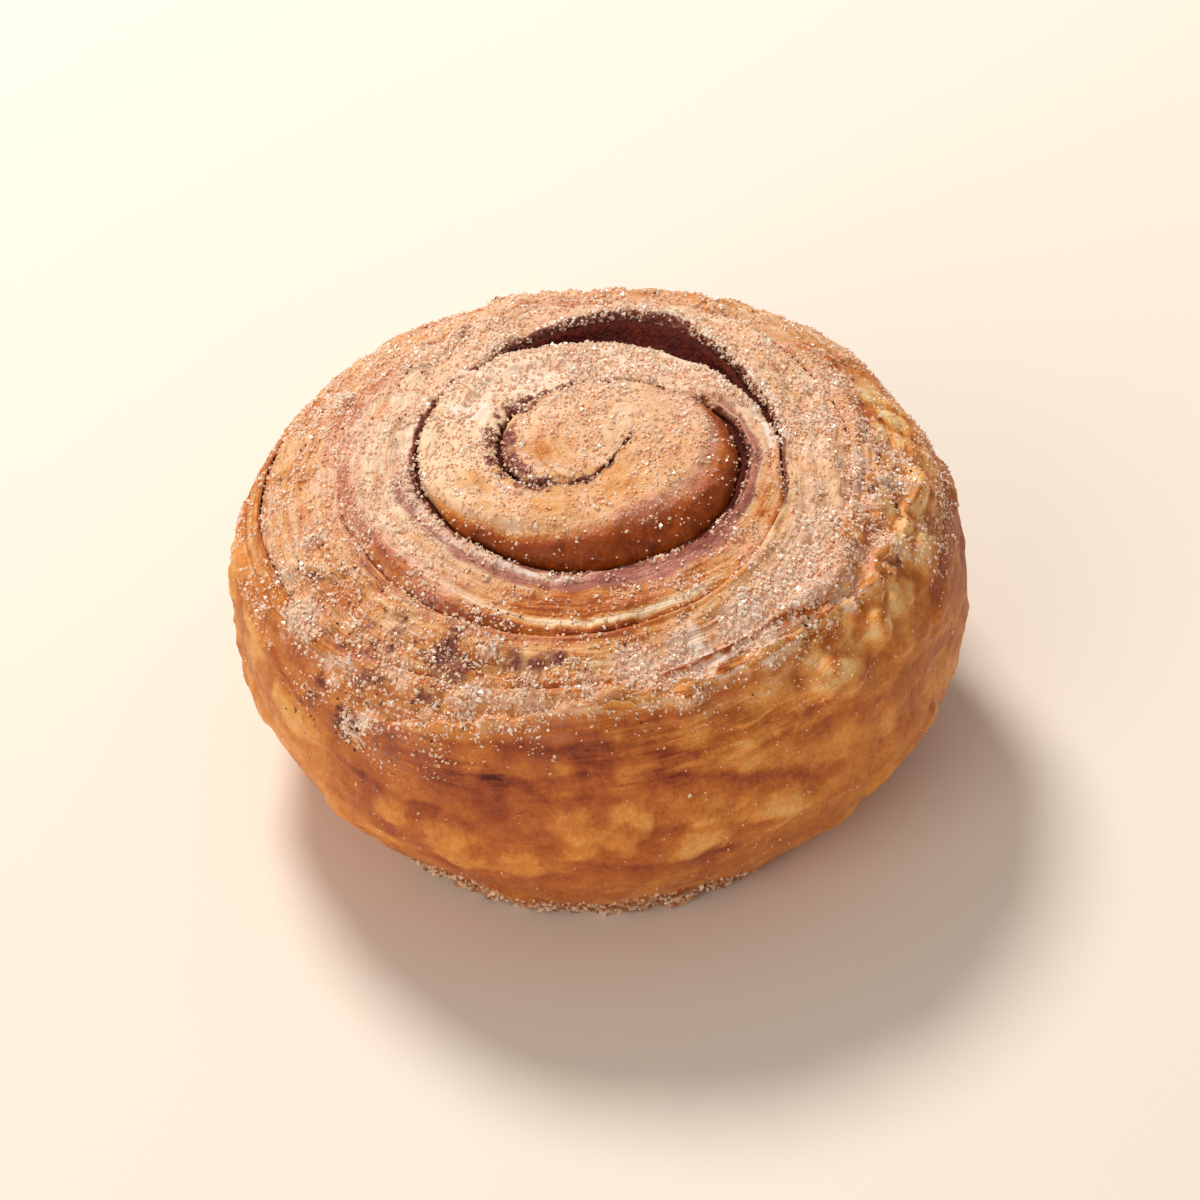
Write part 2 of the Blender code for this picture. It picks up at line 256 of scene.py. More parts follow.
def openness(turn):
    """1 where the filling shows in the slot, 0 where the turns have baked together."""
    return 1.0 - smooth((turn - OPEN_UNTIL_TURN) / OPEN_FADE_TURNS)


def slot_half_width(turn, depth):
    mouth = np.interp(turn, MOUTH_TURNS, MOUTH_WIDTHS)
    width = mix(mouth, SLOT_HALF_WIDTH, smooth(depth / PINCH_DEPTH))
    return width * np.sqrt(np.clip(turn / SLOT_NOSE_TURNS, 0.0, 1.0))


def slot_lean(turn, depth):
    size = hump(turn, CRESCENT_TURN, CRESCENT_TURNS)
    return CRESCENT_LEAN * size * smooth(1.0 - depth / LEAN_DEPTH)


def wall_radius(turn, side, height, top):
    depth = top - height
    middle = curve_point(slot_arc(turn))[0] * taper(height)
    lean = slot_lean(turn, depth) if side > 0 else 0.0
    return middle + lean + side * slot_half_width(turn, depth)


def edge_arc(turn, side):
    return arc_at_radius(wall_radius(turn, side, DOME_HEIGHT, DOME_HEIGHT))


def edge_drop(slot_turn):
    mouth = np.interp(slot_turn, MOUTH_TURNS, MOUTH_WIDTHS)
    return mix(PINCHED_EDGE_DROP, EDGE_DROP, mouth / SLOT_HALF_WIDTH)


def rounding(distance, width):
    share = 1.0 - np.clip(distance / width, 0.0, 1.0)
    return 1.0 - np.sqrt(np.maximum(1.0 - share * share, 0.0))


def turn_angle(turn):
    return -2 * np.pi * turn


def place(angle, radius, height):
    """Points around the axis, with the bun's slight oval."""
    radius = radius * (1 + OVAL_SHARE * np.cos(2 * (angle - OVAL_ANGLE)))
    parts = np.broadcast_arrays(radius * np.cos(angle), radius * np.sin(angle), height)
    return np.stack(parts, axis=-1)


def wrapped(angle):
    """The same direction, between -pi and pi."""
    return np.angle(np.exp(1j * angle))


def in_degrees(angle):
    return np.degrees(wrapped(angle))


def patch(points, degrees, arc, size):
    """1 at a place on the outside, given by direction and length from the top, fading away."""
    spot = place(np.radians(degrees), *curve_point(arc))
    away = np.sum((points - spot) ** 2, axis=-1)
    x, y, z = scaled(points, 3.0)
    return np.exp(-away * (1.0 + 0.6 * noise(x, y, z + 61.0)) / size**2)


def patches(points, spots):
    """Strongest of a list of patches: direction, length from the top, size, strength."""
    share = np.zeros(points.shape[:-1])
    for degrees, arc, size, strength in spots:
        share = np.maximum(share, strength * patch(points, degrees, arc, size))
    return share


def between(value, low, high, soft):
    return smooth((value - low) / soft) * (1.0 - smooth((value - high) / soft))


# Every place on the outside is a direction in degrees, a length from the top, a size and a
# strength. Here are those of the fine sugar and of the thick, lumpy sugar
DUST_SPOTS = (
    (-24, 62, 5, 0.34), (-30, 66, 4, 0.3), (-160, 56, 7, 0.34), (-148, 61, 6, 0.3),
    (-84, 45, 5, 0.9), (-74, 45, 5.5, 0.95), (-62, 44, 6, 1.0), (-50, 42, 6, 1.0),
    (-60, 42, 5, 1.2), (-40, 40, 5.5, 0.95), (-31, 37, 5.5, 0.9), (-21, 34.5, 5, 0.6),
    (-8, 33.5, 5, 0.55), (6, 35, 5, 0.8), (20, 38, 5, 0.75), (90, 16, 7, 0.7), (120, 16, 6, 0.7),
    (60, 18, 6, 0.7), (152, 19, 5, 0.85), (40, 36, 6, 0.5), (75, 37, 6, 0.5), (-25, 62, 6, 0.2),
    (-60, 62, 6, 0.12), (-112, 62, 6, 0.14), (-18, 42, 4, 0.8), (2, 43, 4, 0.7), (-10, 40, 4, 0.9),
    (-28, 47, 3, 0.8), (-3, 47, 3, 0.75), (-160, 37, 5, 0.4), (-140, 41, 5, 0.4),
    (-170, 30, 5, 0.42), (165, 29, 4, 0.4), (-160, 30, 4, 0.3), (2, 6.8, 1.8, 0.8),
)
CRUST_SPOTS = (
    (-13, 44.5, 3, 1.0), (-9, 49.8, 2.6, 0.8), (-17, 50.7, 2.4, 0.8), (-32, 45.6, 3, 1.0),
    (-2, 42.5, 2.6, 0.9), (-22, 41.5, 2.6, 0.9), (-27, 49.5, 2.4, 0.8), (-39, 46, 2.4, 0.8),
    (-24, 46, 2.2, 0.7), (-45, 47, 2.4, 0.7), (-133, 58, 4.5, 1.0), (-128, 63, 3, 0.45),
    (-119, 54, 2.6, 1.0), (-118, 59, 3.5, 0.45), (-140, 54, 5, 0.9), (-152, 51, 6, 0.9),
    (-128, 50, 5, 0.7), (-114, 50, 5, 0.8), (-104, 49, 4.5, 0.9), (-95, 48, 4.5, 0.9),
    (-105, 45, 2.6, 1.0), (-162, 48, 3, 1.0), (-165, 45, 6, 0.7), (150, 42.5, 5, 0.9),
    (127, 36, 5, 0.8), (115, 35, 4, 0.6), (100, 44, 7, 0.6), (60, 42, 7, 0.6), (-13, 47, 4, 0.8),
    (-112, 43, 2.6, 1.0), (-24, 44, 3, 0.7), (178, 40, 6, 0.6), (165, 37, 5, 0.6),
    (9, 26, 2.6, 0.9), (-3, 28.7, 2.4, 0.8), (27, 22.8, 2.6, 0.8), (18, 24.5, 2.2, 0.8),
)
# Crust along the foot: direction, reach in degrees, height, reach up and down, thickness
FOOT_DIRECTION = 255.0
FOOT_DEGREES = 36.0
FOOT_HEIGHT = 1.0
FOOT_REACH = 3.0
FOOT_CRUST_HEIGHT = 1.3
CRUST_HEIGHT = 1.15
BUBBLE_SIZE = 4.2
# Calmer part of the cut face: direction and reach in degrees
CALM_FACING = (-35, 55)


def facing(angle, degrees, reach):
    """1 at a direction seen from above, fading over a number of degrees."""
    return hump(in_degrees(angle - np.radians(degrees)), 0.0, reach)


def foot_share(angle, height):
    """1 in the sugar crust along the foot."""
    around = smooth(1.8 * facing(angle, FOOT_DIRECTION, FOOT_DEGREES) - 0.35)
    return around * hump(height, FOOT_HEIGHT, FOOT_REACH)


def crust_relief(points):
    """Height of the thick, lumpy sugar."""
    rough = 0.35 + 0.75 * layered(*scaled(points, 1.9), 3)
    return CRUST_HEIGHT * patches(points, CRUST_SPOTS) * rough


def ledge(value, drop=0.16):
    """Saw tooth that climbs from 0 to 1 and falls back over a short drop."""
    part = value - np.floor(value)
    return np.where(part < 1 - drop, part / (1 - drop), (1 - part) / drop)


def path_length(turns):
    """Length along the strip at each turn value."""
    fine = np.linspace(0.0, 5.0, PATH_STEPS)
    radius = slot_arc(np.maximum(fine - MIDDLE_TURNS, 0.0))
    length = np.concatenate([[0.0], np.cumsum(2 * np.pi * radius[1:] * np.diff(fine))])
    return np.interp(turns, fine, length)


def coil_relief(point, turn, from_inner, from_outer):
    """Layer lines, lumps and pits of the cut face, as height in millimetres."""
    x, y = scaled(point)[:2]
    along = path_length(turn)
    reach = from_inner + from_outer
    edge = smooth(np.minimum(from_inner, from_outer) / 1.2)
    wander = 1.1 * noise(along / 17.0, from_inner / 6.0, 3.0)
    lines = layered(along / 15.0, (from_inner + wander) / 1.15, turn, 2)
    folds = noise(along / 22.0, (from_inner + wander) / 2.7, turn + 5.0)
    patchy = 0.35 + 0.65 * smooth(0.5 + 1.2 * noise(x / 11.0, y / 11.0, 9.0))
    lumps = 0.50 * noise(x / 8.0, y / 8.0, 1.0) + 0.42 * noise(x / 3.4, y / 3.4, 2.0)
    pits = -0.7 * smooth((noise(x / 1.9, y / 1.9, 5.0) - 0.35) / 0.35)
    fine = 0.17 * layered(*scaled(point, 1.2), 2)
    heart = 1.0 - smooth((turn - 0.7) / 0.5)
    calm = facing(np.arctan2(y, x), *CALM_FACING) * (1.0 - heart)
    strength = mix(0.6, 0.45, heart) * (1.0 - 0.6 * calm)
    size = smooth(reach / 5.0)
    rows = strength * patchy * lines + mix(0.8, 0.5, heart) * (1.0 - 0.5 * calm) * folds
    pits = pits * mix(0.2, 0.8, smooth((turn - 1.75) / 0.4))
    return size * edge * (rows + lumps * (1 - 0.4 * heart) + pits + fine + crust_relief(point))


# Blisters that show: angle in radians, length along the outside, radius, height
BLISTERS = (
    (-0.71, 53.8, 3.1, 2.3), (-0.91, 56.4, 3.8, 2.2), (-0.17, 50.4, 3.4, 2.0),
    (-0.45, 62.0, 4.0, 0.7), (-1.36, 52.6, 2.8, 0.8), (-1.20, 58.5, 2.6, 0.6),
    (-2.04, 73.2, 4.6, 0.5), (-1.99, 77.0, 3.4, 0.5), (-1.56, 69.3, 4.2, 0.5),
    (-1.36, 73.7, 4.4, 0.5), (-1.14, 72.9, 3.4, 0.4), (-2.19, 70.9, 4.6, 0.4),
    (-1.68, 67.9, 3.6, 0.4),
)
LOOSE_BLISTERS = 60
LOOSE_BLISTER_RANGES = ((-np.pi, np.pi), (56.0, 92.0), (2.0, 5.5), (0.2, 0.7))


def blisters(angle, arc):
    """Low domes where the outer layer has lifted."""
    rng = np.random.default_rng(5)
    spots = list(BLISTERS)
    for _ in range(LOOSE_BLISTERS):
        spots.append(tuple(rng.uniform(low, high) for low, high in LOOSE_BLISTER_RANGES))
    total = 0.0 * (angle + arc)
    ragged = 0.3 * layered(angle * BULGE_RADIUS / 2.6, arc / 2.6, 35.0, 2)
    for centre, middle, radius, height in spots:
        around = wrapped(angle - centre) * BULGE_RADIUS
        tilt = rng.uniform(-0.25, 0.25)
        away = np.hypot(around / rng.uniform(1.0, 1.9), arc - middle + tilt * around)
        rim = 1.0 - away / radius + ragged * (0.4 if height > 1.0 else 1.0)
        total = np.maximum(total, height * smooth(1.8 * rim))
    return total


# Torn upper edge of the outer layer: direction in degrees and length along the outside
LIP_DEGREES = (-150, -127, -113, -103, -94, -84, -74, -59, -48, -36, -28, -12, 10, 30)
LIP_ARCS = (58.0, 56.0, 52.8, 50.6, 49.4, 48.8, 47.8, 47.8, 47.8, 48.4, 48.2, 47.5, 50.5, 46.0)
LIP_HEIGHTS = (0.0, 0.8, 1.1, 1.2, 1.2, 1.3, 1.4, 1.7, 1.9, 1.9, 1.5, 0.9, 0.8, 0.0)


def lip_place(angle):
    """Length from the top to the torn edge."""
    around = angle * BULGE_RADIUS
    wave = 0.5 * noise(around / 2.2, 1.0, 41.0) + noise(around / 9.0, 2.0, 41.0)
    return np.interp(in_degrees(angle), LIP_DEGREES, LIP_ARCS) + wave


# Long creases of the outer layer: first and last direction in degrees, their places, depth
CREASES = (
    (-86, -55, 58.6, 70.9, 1.2), (-84, -71, 56.6, 59.6, 0.7), (-112, -90, 60.5, 59.0, 0.7),
    (3, 36, 53.7, 43.3, 0.9), (-128, -112, 60.0, 57.5, 0.7), (-100, -70, 74.0, 79.0, 0.6),
    (-140, -108, 66.0, 69.0, 0.6), (-104, -78, 55.5, 54.5, 0.6), (-160, -135, 58.0, 63.0, 0.6),
    (-70, -30, 60.0, 64.0, 0.6), (-97, -78, 53.2, 50.4, 0.7), (-74, -52, 62.9, 70.5, 0.6),
    (-90, -66, 53.0, 54.5, 0.5), (-78, -50, 57.0, 58.5, 0.5), (-118, -98, 55.0, 53.5, 0.6),
    (-60, -36, 56.0, 57.5, 0.4), (-110, -88, 62.5, 63.5, 0.4), (-30, -8, 58.0, 55.0, 0.5),
    (-45, -20, 68.0, 66.0, 0.4), (-125, -95, 80.0, 78.0, 0.5), (-98, -60, 65.5, 76.0, 0.6),
)
TROUGH_DEGREES = (-82, -74, -68, -58, -50)
TROUGH_ARCS = (48.0, 46.7, 46.0, 45.3, 46.0)
TROUGH_FACING = (-84.0, -52.0, 8.0)
# Limits of the torn area: directions in degrees, lengths from the top
TORN_TOP = ((-45, -31, -5, 28), (46.0, 40.5, 38.5, 45.0))
TORN_BOTTOM = ((-60, -30, 30), (50.0, 52.0, 48.0))


def crease_places(angle, arc):
    """Distance below each crease, with its depth there."""
    degrees = np.degrees(angle)
    around = angle * BULGE_RADIUS
    wave = 0.5 * noise(around / 6.0, 5.0, 45.0) + 0.35 * noise(around / 1.8, 5.0, 49.0)
    for first, last, start, end, depth in CREASES:
        share = (degrees - first) / (last - first)
        depth = depth * smooth(share / 0.15) * smooth((1.0 - share) / 0.15)
        yield arc - mix(start, end, share) - wave, depth


def creases(angle, arc):
    """Shelves that fall off below a line along the outside."""
    total = 0.0 * (angle + arc)
    for away, depth in crease_places(angle, arc):
        total = total - depth * smooth(away / 0.5) * (1.0 - smooth((away - 0.5) / 5.0))
    return total


def crease_shade_lines(angle, arc):
    """Painted shade: a dark line at the foot of each crease."""
    total = 0.0 * (angle + arc)
    for away, depth in crease_places(angle, arc):
        total = np.maximum(total, depth * hump(away, 0.6, 0.7))
    return total


def trough_share(angle, arc):
    """1 in the furrow between the torn edge and the sugar, dark red from browning and from painted
    shade.
    """
    degrees = in_degrees(angle)
    line = np.interp(degrees, TROUGH_DEGREES, TROUGH_ARCS)
    ends = between(degrees, *TROUGH_FACING)
    return ends * hump(arc, line, 0.7 + 0.4 * noise(angle * BULGE_RADIUS / 2.0, 7.0, 46.0))


def lip_height(angle):
    return np.interp(in_degrees(angle), LIP_DEGREES, LIP_HEIGHTS, left=0.0, right=0.0)


def lip_share(angle, arc):
    """Rise of the outer layer's torn edge, in millimetres."""
    away = arc - lip_place(angle)
    curl = smooth(away / 0.7 + 0.5) * (1.0 - 0.8 * smooth((away - 0.8) / 6.0))
    ruffle = 1.0 + 0.5 * noise(angle * BULGE_RADIUS / 2.3, arc / 3.0, 43.0)
    return lip_height(angle) * curl * ruffle


def torn_share(angle, arc):
    """1 in the bubbled, torn area at the right."""
    degrees = in_degrees(angle)
    inside = smooth((arc - np.interp(degrees, *TORN_TOP)) / 2.0)
    lower = 1.0 - smooth((arc - np.interp(degrees, *TORN_BOTTOM)) / 6.0)
    across = smooth((degrees + 66.0) / 14.0) * (1.0 - smooth((degrees - 14.0) / 16.0))
    return inside * lower * across


# Paler patches where the outer layer has lifted
GOLD_SPOTS = (
    (-125.7, 70.9, 4.5, 0.8), (-117.1, 73.2, 4.5, 1.0), (-114, 77.5, 4.0, 1.0),
    (-105.2, 76.7, 4.0, 0.9), (-96.2, 67.9, 4.5, 0.9), (-89.3, 69.3, 5.0, 0.9),
    (-77.9, 73.7, 5.0, 0.9), (-65.3, 72.9, 4.5, 0.8), (-78.0, 51.7, 2.5, 1.0),
    (-52.1, 56.2, 3.5, 1.0), (-40.5, 53.8, 3.0, 1.0), (-9.3, 49.8, 3.0, 1.0), (-60, 60, 4, 0.5),
    (-150, 66, 5, 0.8), (-165, 62, 6, 0.8), (180, 60, 7, 0.7),
)


def gold_share(points):
    """1 in the paler, lifted patches of the outside."""
    x, y, z = scaled(points)
    ragged = layered(x / 3.0, y / 3.0, z / 2.2 + 35.0, 3)
    gold = patches(points, GOLD_SPOTS)
    loose = layered(x / 8.0, y / 8.0, z / 6.0 + 33.0, 3)
    named = smooth((gold + 0.5 * gold * ragged - 0.25) / 0.42)
    return np.maximum(named, 0.5 * smooth((loose - 0.12) / 0.35))


def bubbles(points):
    """From -1 in the seams to 1 on the domes of the torn area."""
    x, y, z = scaled(points, BUBBLE_SIZE)
    wander = 0.2 * noise(2.3 * x, 2.3 * y, 2.3 * z + 9.0)
    return np.minimum(3.2 * np.abs(noise(x, y, z) + wander) - 1.0, 1.0)


def side_relief(angle, arc, point):
    """Flaky layers, blisters and lumps of the outside, along its normal."""
    around = angle * BULGE_RADIUS
    bend = 3.0 * noise(around / 26.0, arc / 15.0, 4.0) + 0.9 * noise(around / 6.0, arc / 5.0, 6.0)
    mask = smooth(0.45 + 1.3 * noise(around / 21.0, arc / 9.0, 8.0))
    steps = 0.7 * (ledge((arc + bend) / 5.2) - 0.5) * mask + 0.3 * gold_share(point)
    thin_mask = smooth(0.4 + 1.5 * noise(around / 12.0, arc / 6.0, 14.0))
    thin = 0.3 * (ledge((arc + bend * 0.8) / 1.9) - 0.5) * thin_mask
    lumps = 0.45 * noise(*scaled(point, 13.0)) + 0.22 * noise(*scaled(point, 5.0))
    fine = 0.07 * layered(*scaled(point, 1.4), 2)
    fade = smooth((arc - 40.0) / 10.0) * smooth((BASE_ARC - arc) / 4.0)
    torn = torn_share(angle, arc)
    lip = lip_share(angle, arc) - 0.7 * trough_share(angle, arc)
    skin = steps + thin + lumps + fine + blisters(angle, arc) + creases(angle, arc)
    torn_skin = 0.55 * bubbles(point) - 0.5 + 0.12 * noise(*scaled(point, 1.4))
    crumbs = 0.5 + layered(*scaled(point, 1.5), 2)
    foot = FOOT_CRUST_HEIGHT * foot_share(angle, point[..., 2]) * crumbs
    crust = crust_relief(point) * smooth((arc - 40.0) / 6.0)
    return fade * skin * (1 - 0.4 * torn) + torn * torn_skin + lip + foot + crust


def ruffle_rise(turn, from_edge):
    """Ruffled rim over the outermost turn's inner edge."""
    ruffle = 0.65 + 0.35 * np.sin(2 * np.pi * RUFFLES_PER_TURN * turn)
    ruffle = ruffle + 0.5 * noise(path_length(turn) / 3.2, from_edge / 2.0, 21.0)
    size = RUFFLE_RISE * hump(turn, RUFFLE_TURN, RUFFLE_TURNS)
    return size * ruffle * hump(from_edge, RUFFLE_WIDTH / 2, RUFFLE_WIDTH)


def slot_side(turn, side, rise, levels):
    """Edge of a slot wall as flat vectors, and the wall's points from the base up."""
    arc = edge_arc(turn, side)
    radius, height = curve_point(arc)
    top = height + rise
    angle = turn_angle(turn)
    foot = top - LEAN_DEPTH
    heights = [share * foot for share in levels[0]] + [top - depth for depth in levels[1]]
    wall = [place(angle, wall_radius(turn, side, z, top), z) for z in heights]
    wall.append(place(angle, radius, top))
    flat = np.stack([arc * np.cos(angle), arc * np.sin(angle)], axis=-1)
    return flat, np.stack(wall, axis=1)


def shoulder(turn):
    """Drop and width of the strip's outer edge, both large at the heart's bare shoulder."""
    bare = hump(turn, SHOULDER_TURN, SHOULDER_TURNS)
    ridge = hump(turn, RIDGE_TURN, RIDGE_TURNS)
    drop = edge_drop(turn) + SHOULDER_DROP * bare + RIDGE_DROP * ridge
    return drop, EDGE_WIDTH + SHOULDER_WIDTH * bare + RIDGE_WIDTH * ridge


def eased_shares(count, ease):
    """Shares between 0 and 1 that crowd toward both ends."""
    even = np.linspace(0.0, 1.0, count + 2)[1:-1]
    crowded = 0.5 - 0.5 * np.cos(np.pi * even)
    return mix(even, crowded, ease)


def below_rim(wall):
    """Depth of a slot wall's points below its rim."""
    return wall[..., 2].max(axis=1, keepdims=True) - wall[..., 2]


def inner_wall(turns):
    held = np.maximum(turns, 1.0)
    rise = by_quarter(TURN_RISE, held) - edge_drop(held - 1.0)
    return slot_side(held - 1.0, 1, rise, WALL_LEVELS)


def coil_rows(turns, crown_count, outer_levels):
    """Sections of the strip where another turn lies outside it, with their distances."""
    start, inner = inner_wall(turns)
    drop, width = shoulder(turns)
    strip_rise = by_quarter(TURN_RISE, turns)
    end, outer = slot_side(turns, -1, strip_rise - drop, outer_levels)
    shares = eased_shares(crown_count, 0.5)
    spot = start[:, None] + (end - start)[:, None] * shares[None, :, None]
    reach = np.hypot(*(end - start).T)[:, None]
    arc = np.hypot(spot[..., 0], spot[..., 1])
    angle = np.arctan2(spot[..., 1], spot[..., 0])
    from_inner = reach * shares
    from_outer = reach - from_inner
    inner_drop = edge_drop(np.maximum(turns - 1.0, 0.0))[:, None]
    inner_fall = inner_drop * rounding(from_inner, EDGE_WIDTH)
    outer_fall = drop[:, None] * rounding(from_outer, width[:, None])
    rise = strip_rise[:, None] - np.maximum(inner_fall, outer_fall)
    radius, height = curve_point(arc)
    base = place(angle, radius, height + rise)
    relief = coil_relief(base, turns[:, None], from_inner, from_outer)
    out_part, up_part = curve_normal(arc)
    crown = place(angle, radius + relief * out_part, height + rise + relief * up_part)
    return inner, crown, outer[:, ::-1], from_inner, from_outer


def tail_lift(turns):
    """How far the strip's loose end stands off the turn below it."""
    return TAIL_LIFT * smooth(1.0 - (LAST_TURN - turns) / TAIL_TURNS)


def wrap_level(turns, arc, from_edge):
    """Height of the outermost turn over the plain outside."""
    angle = turn_angle(turns)
    edge = rounding(from_edge, EDGE_WIDTH)
    level = by_quarter(TURN_RISE, turns) - edge_drop(turns - 1.0) * edge
    level = level + tail_lift(turns) * (1 - edge)
    level = level + ruffle_rise(turns, from_edge) + swell(angle, arc)
    radius, height = curve_point(arc)
    base = place(angle, radius, height)
    relief = side_relief(angle + 0 * arc, arc, base) * smooth(from_edge / 1.5)
    cut = (1.0 - smooth((arc - 46.0) / 6.0)) * (1.0 - torn_share(angle, arc))
    return level + relief + cut * coil_relief(base, turns + 0 * arc, from_edge, from_edge + 4.0)


def wrap_points(turns, arc, from_edge, extra=0.0):
    level = wrap_level(turns, arc, from_edge) + extra
    radius, height = curve_point(arc)
    out_part, up_part = curve_normal(arc)
    return place(turn_angle(turns), radius + level * out_part, height + level * up_part)


def wrap_rows(turns, crown_count, side_count):
    """Sections of the outermost turn, down to the base."""
    start, inner = inner_wall(turns)
    first = np.hypot(start[:, 0], start[:, 1])[:, None]
    shares = eased_shares(crown_count, 0.0)[None, :]
    arc = first + (OUTER_ARC_START - first) * shares
    side = np.linspace(OUTER_ARC_START, BASE_ARC, side_count)[None, :] + 0 * first
    arc = np.concatenate([arc, side], axis=1)
    points = wrap_points(turns[:, None], arc, arc - first)
    points[:, -1] = place(turn_angle(turns), BASE_RADIUS + tail_lift(turns), 0.0)
    points[..., 2] = np.maximum(points[..., 2], 0.0)
    return inner, points, arc - first


def turn_row(first, last, steps_per_turn):
    """Turn values, closer together in the outer turns."""
    turns = [first]
    while turns[-1] < last:
        steps = steps_per_turn[min(int(turns[-1] + 1e-9), len(steps_per_turn) - 1)]
        turns.append(min(turns[-1] + 1.0 / steps, last))
    if turns[-1] - turns[-2] < 0.3 / steps_per_turn[-1]:
        del turns[-2]
    return np.array(turns)


def inner_rows():
    """Sections from the heart to where the strip becomes the outside, with their zones."""
    turns = np.concatenate([FIRST_TURNS, turn_row(0.02, EXIT_TURN, STEPS_PER_TURN)])
    inner, crown, outer, from_inner, from_outer = coil_rows(turns, CROWN_POINTS, WALL_LEVELS)
    points = np.concatenate([inner, crown, outer], axis=1)
    wall = np.zeros((len(turns), WALL_COUNT))
    reach = from_inner[:, -1:] + from_outer[:, -1:]
    zones = {
        "turn": turns[:, None] + 0 * points[..., 0],
        "inner": np.concatenate([wall, from_inner, wall + reach], axis=1),
        "outer": np.concatenate([wall + reach, from_outer, wall], axis=1),
        "depth": np.concatenate([below_rim(inner), 0 * from_inner, below_rim(outer)], axis=1),
    }
    return points, zones


def round_tail(sections):
    """Draw sections in toward their slot walls, so that the strip's loose end is round."""
    for section, part in zip(sections, TAIL_NOSE_PARTS):
        share = TAIL_NOSE_SHARE + (1 - TAIL_NOSE_SHARE) * np.sqrt(1.0 - part * part)
        wall, skin = section[:WALL_COUNT], section[WALL_COUNT:]
        radii = np.hypot(wall[:, 0], wall[:, 1])
        direction = wall[0, :2] / radii[0]
        own = np.hypot(skin[:, 0], skin[:, 1])
        target = np.interp(np.minimum(skin[:, 2], wall[-1, 2]), wall[:, 2], radii)
        skin[:, :2] = direction * (target + (own - target) * share)[:, None]


def outer_rows():
    """Sections of the outermost turn to the tail's rounded end, with their zones."""
    turns = turn_row(EXIT_TURN + 1.0 / STEPS_PER_TURN[-1], LAST_TURN - TAIL_NOSE_TURNS,
                     STEPS_PER_TURN[-1:])
    nose = LAST_TURN - TAIL_NOSE_TURNS * (1 - TAIL_NOSE_PARTS)
    turns = np.concatenate([turns, nose])
    inner, wrap, from_edge = wrap_rows(turns, WRAP_CROWN_POINTS, SIDE_POINTS)
    coiled = np.flatnonzero(turns < EXIT_TURN + SETTLE_TURNS)
    share = smooth((turns[coiled] - EXIT_TURN) / SETTLE_TURNS)[:, None, None]
    _, crown, outer, _, _ = coil_rows(turns[coiled], WRAP_CROWN_POINTS, SIDE_LEVELS)
    coil = np.concatenate([crown, outer], axis=1)
    wrap[coiled] = coil * (1 - share) + wrap[coiled] * share
    points = np.concatenate([inner, wrap], axis=1)
    round_tail(points[-len(TAIL_NOSE_PARTS):])
    wall = np.zeros((len(turns), WALL_COUNT))
    zones = {
        "turn": turns[:, None] + 0 * points[..., 0],
        "inner": np.concatenate([wall, from_edge], axis=1),
        "outer": np.full(points.shape[:2], NO_EDGE_NEAR),
        "depth": np.concatenate([below_rim(inner), 0 * from_edge], axis=1),
    }
    return points, zones


def tube_faces(first, rows, count):
    """Faces of a tube of sections, each one a closed loop of points."""
    row = np.arange(rows - 1)[:, None] * count + first
    column = np.arange(count)[None, :]
    here, after = row + column, row + (column + 1) % count
    faces = np.stack([here, here + count, after + count, after], axis=-1)
    return faces.reshape(-1, 4).tolist()


def bridge_faces(first, first_marks, second, second_marks):
    """Triangles between two loops, paired by the marks of their points."""
    faces = []
    low, high = 0, 0
    while low < len(first_marks) or high < len(second_marks):
        next_low = first_marks[low + 1] if low + 1 < len(first_marks) else 9.0
        next_high = second_marks[high + 1] if high + 1 < len(second_marks) else 9.0
        here = first + low % len(first_marks)
        there = second + high % len(second_marks)
        if high >= len(second_marks) or (low < len(first_marks) and next_low <= next_high):
            low += 1
            faces.append((here, there, first + low % len(first_marks)))
        else:
            high += 1
            faces.append((here, there, second + high % len(second_marks)))
    return faces


def loop_marks(crown_count, wall_count):
    """Marks of a section's points: inner wall to 1, crown to 2, outer wall to 3."""
    return np.concatenate([np.linspace(0.0, 1.0, WALL_COUNT), 1 + eased_shares(crown_count, 0.0),
                           np.linspace(2.0, 3.0, wall_count)])


def add_object(name, data):
    thing = bpy.data.objects.new(name, data)
    bpy.context.scene.collection.objects.link(thing)
    return thing


def new_object(name, points, faces, attributes, merge=False, flat=False):
    """Mesh object in the frame from points in millimetres."""
    mesh = bpy.data.meshes.new(name)
    mesh.from_pydata(((points + AXIS_PLACE) * MM).tolist(), [], faces, shade_flat=flat)
    for key, values in attributes.items():
        values = np.asarray(values, dtype=np.float32)
        kind, field = ("FLOAT_VECTOR", "vector") if values.ndim == 2 else ("FLOAT", "value")
        mesh.attributes.new(key, kind, "POINT").data.foreach_set(field, values.ravel())
    if merge:
        sewn = bmesh.new()
        sewn.from_mesh(mesh)
        bmesh.ops.remove_doubles(sewn, verts=sewn.verts, dist=0.000001)
        bmesh.ops.holes_fill(sewn, edges=[e for e in sewn.edges if e.is_boundary], sides=0)
        bmesh.ops.recalc_face_normals(sewn, faces=sewn.faces)
        sewn.to_mesh(mesh)
        sewn.free()
    mesh.update()
    return add_object(name, mesh)


# Browning of the strip's top, one value each quarter turn from the heart
TOP_BAKE = (0.33, 0.30, 0.34, 0.27, 0.31, 0.34, 0.14, 0.06, 0.36, 0.52, 0.10, 0.20, 0.27, 0.40,
            0.38, 0.32, 0.44, 0.48, 0.44, 0.40)
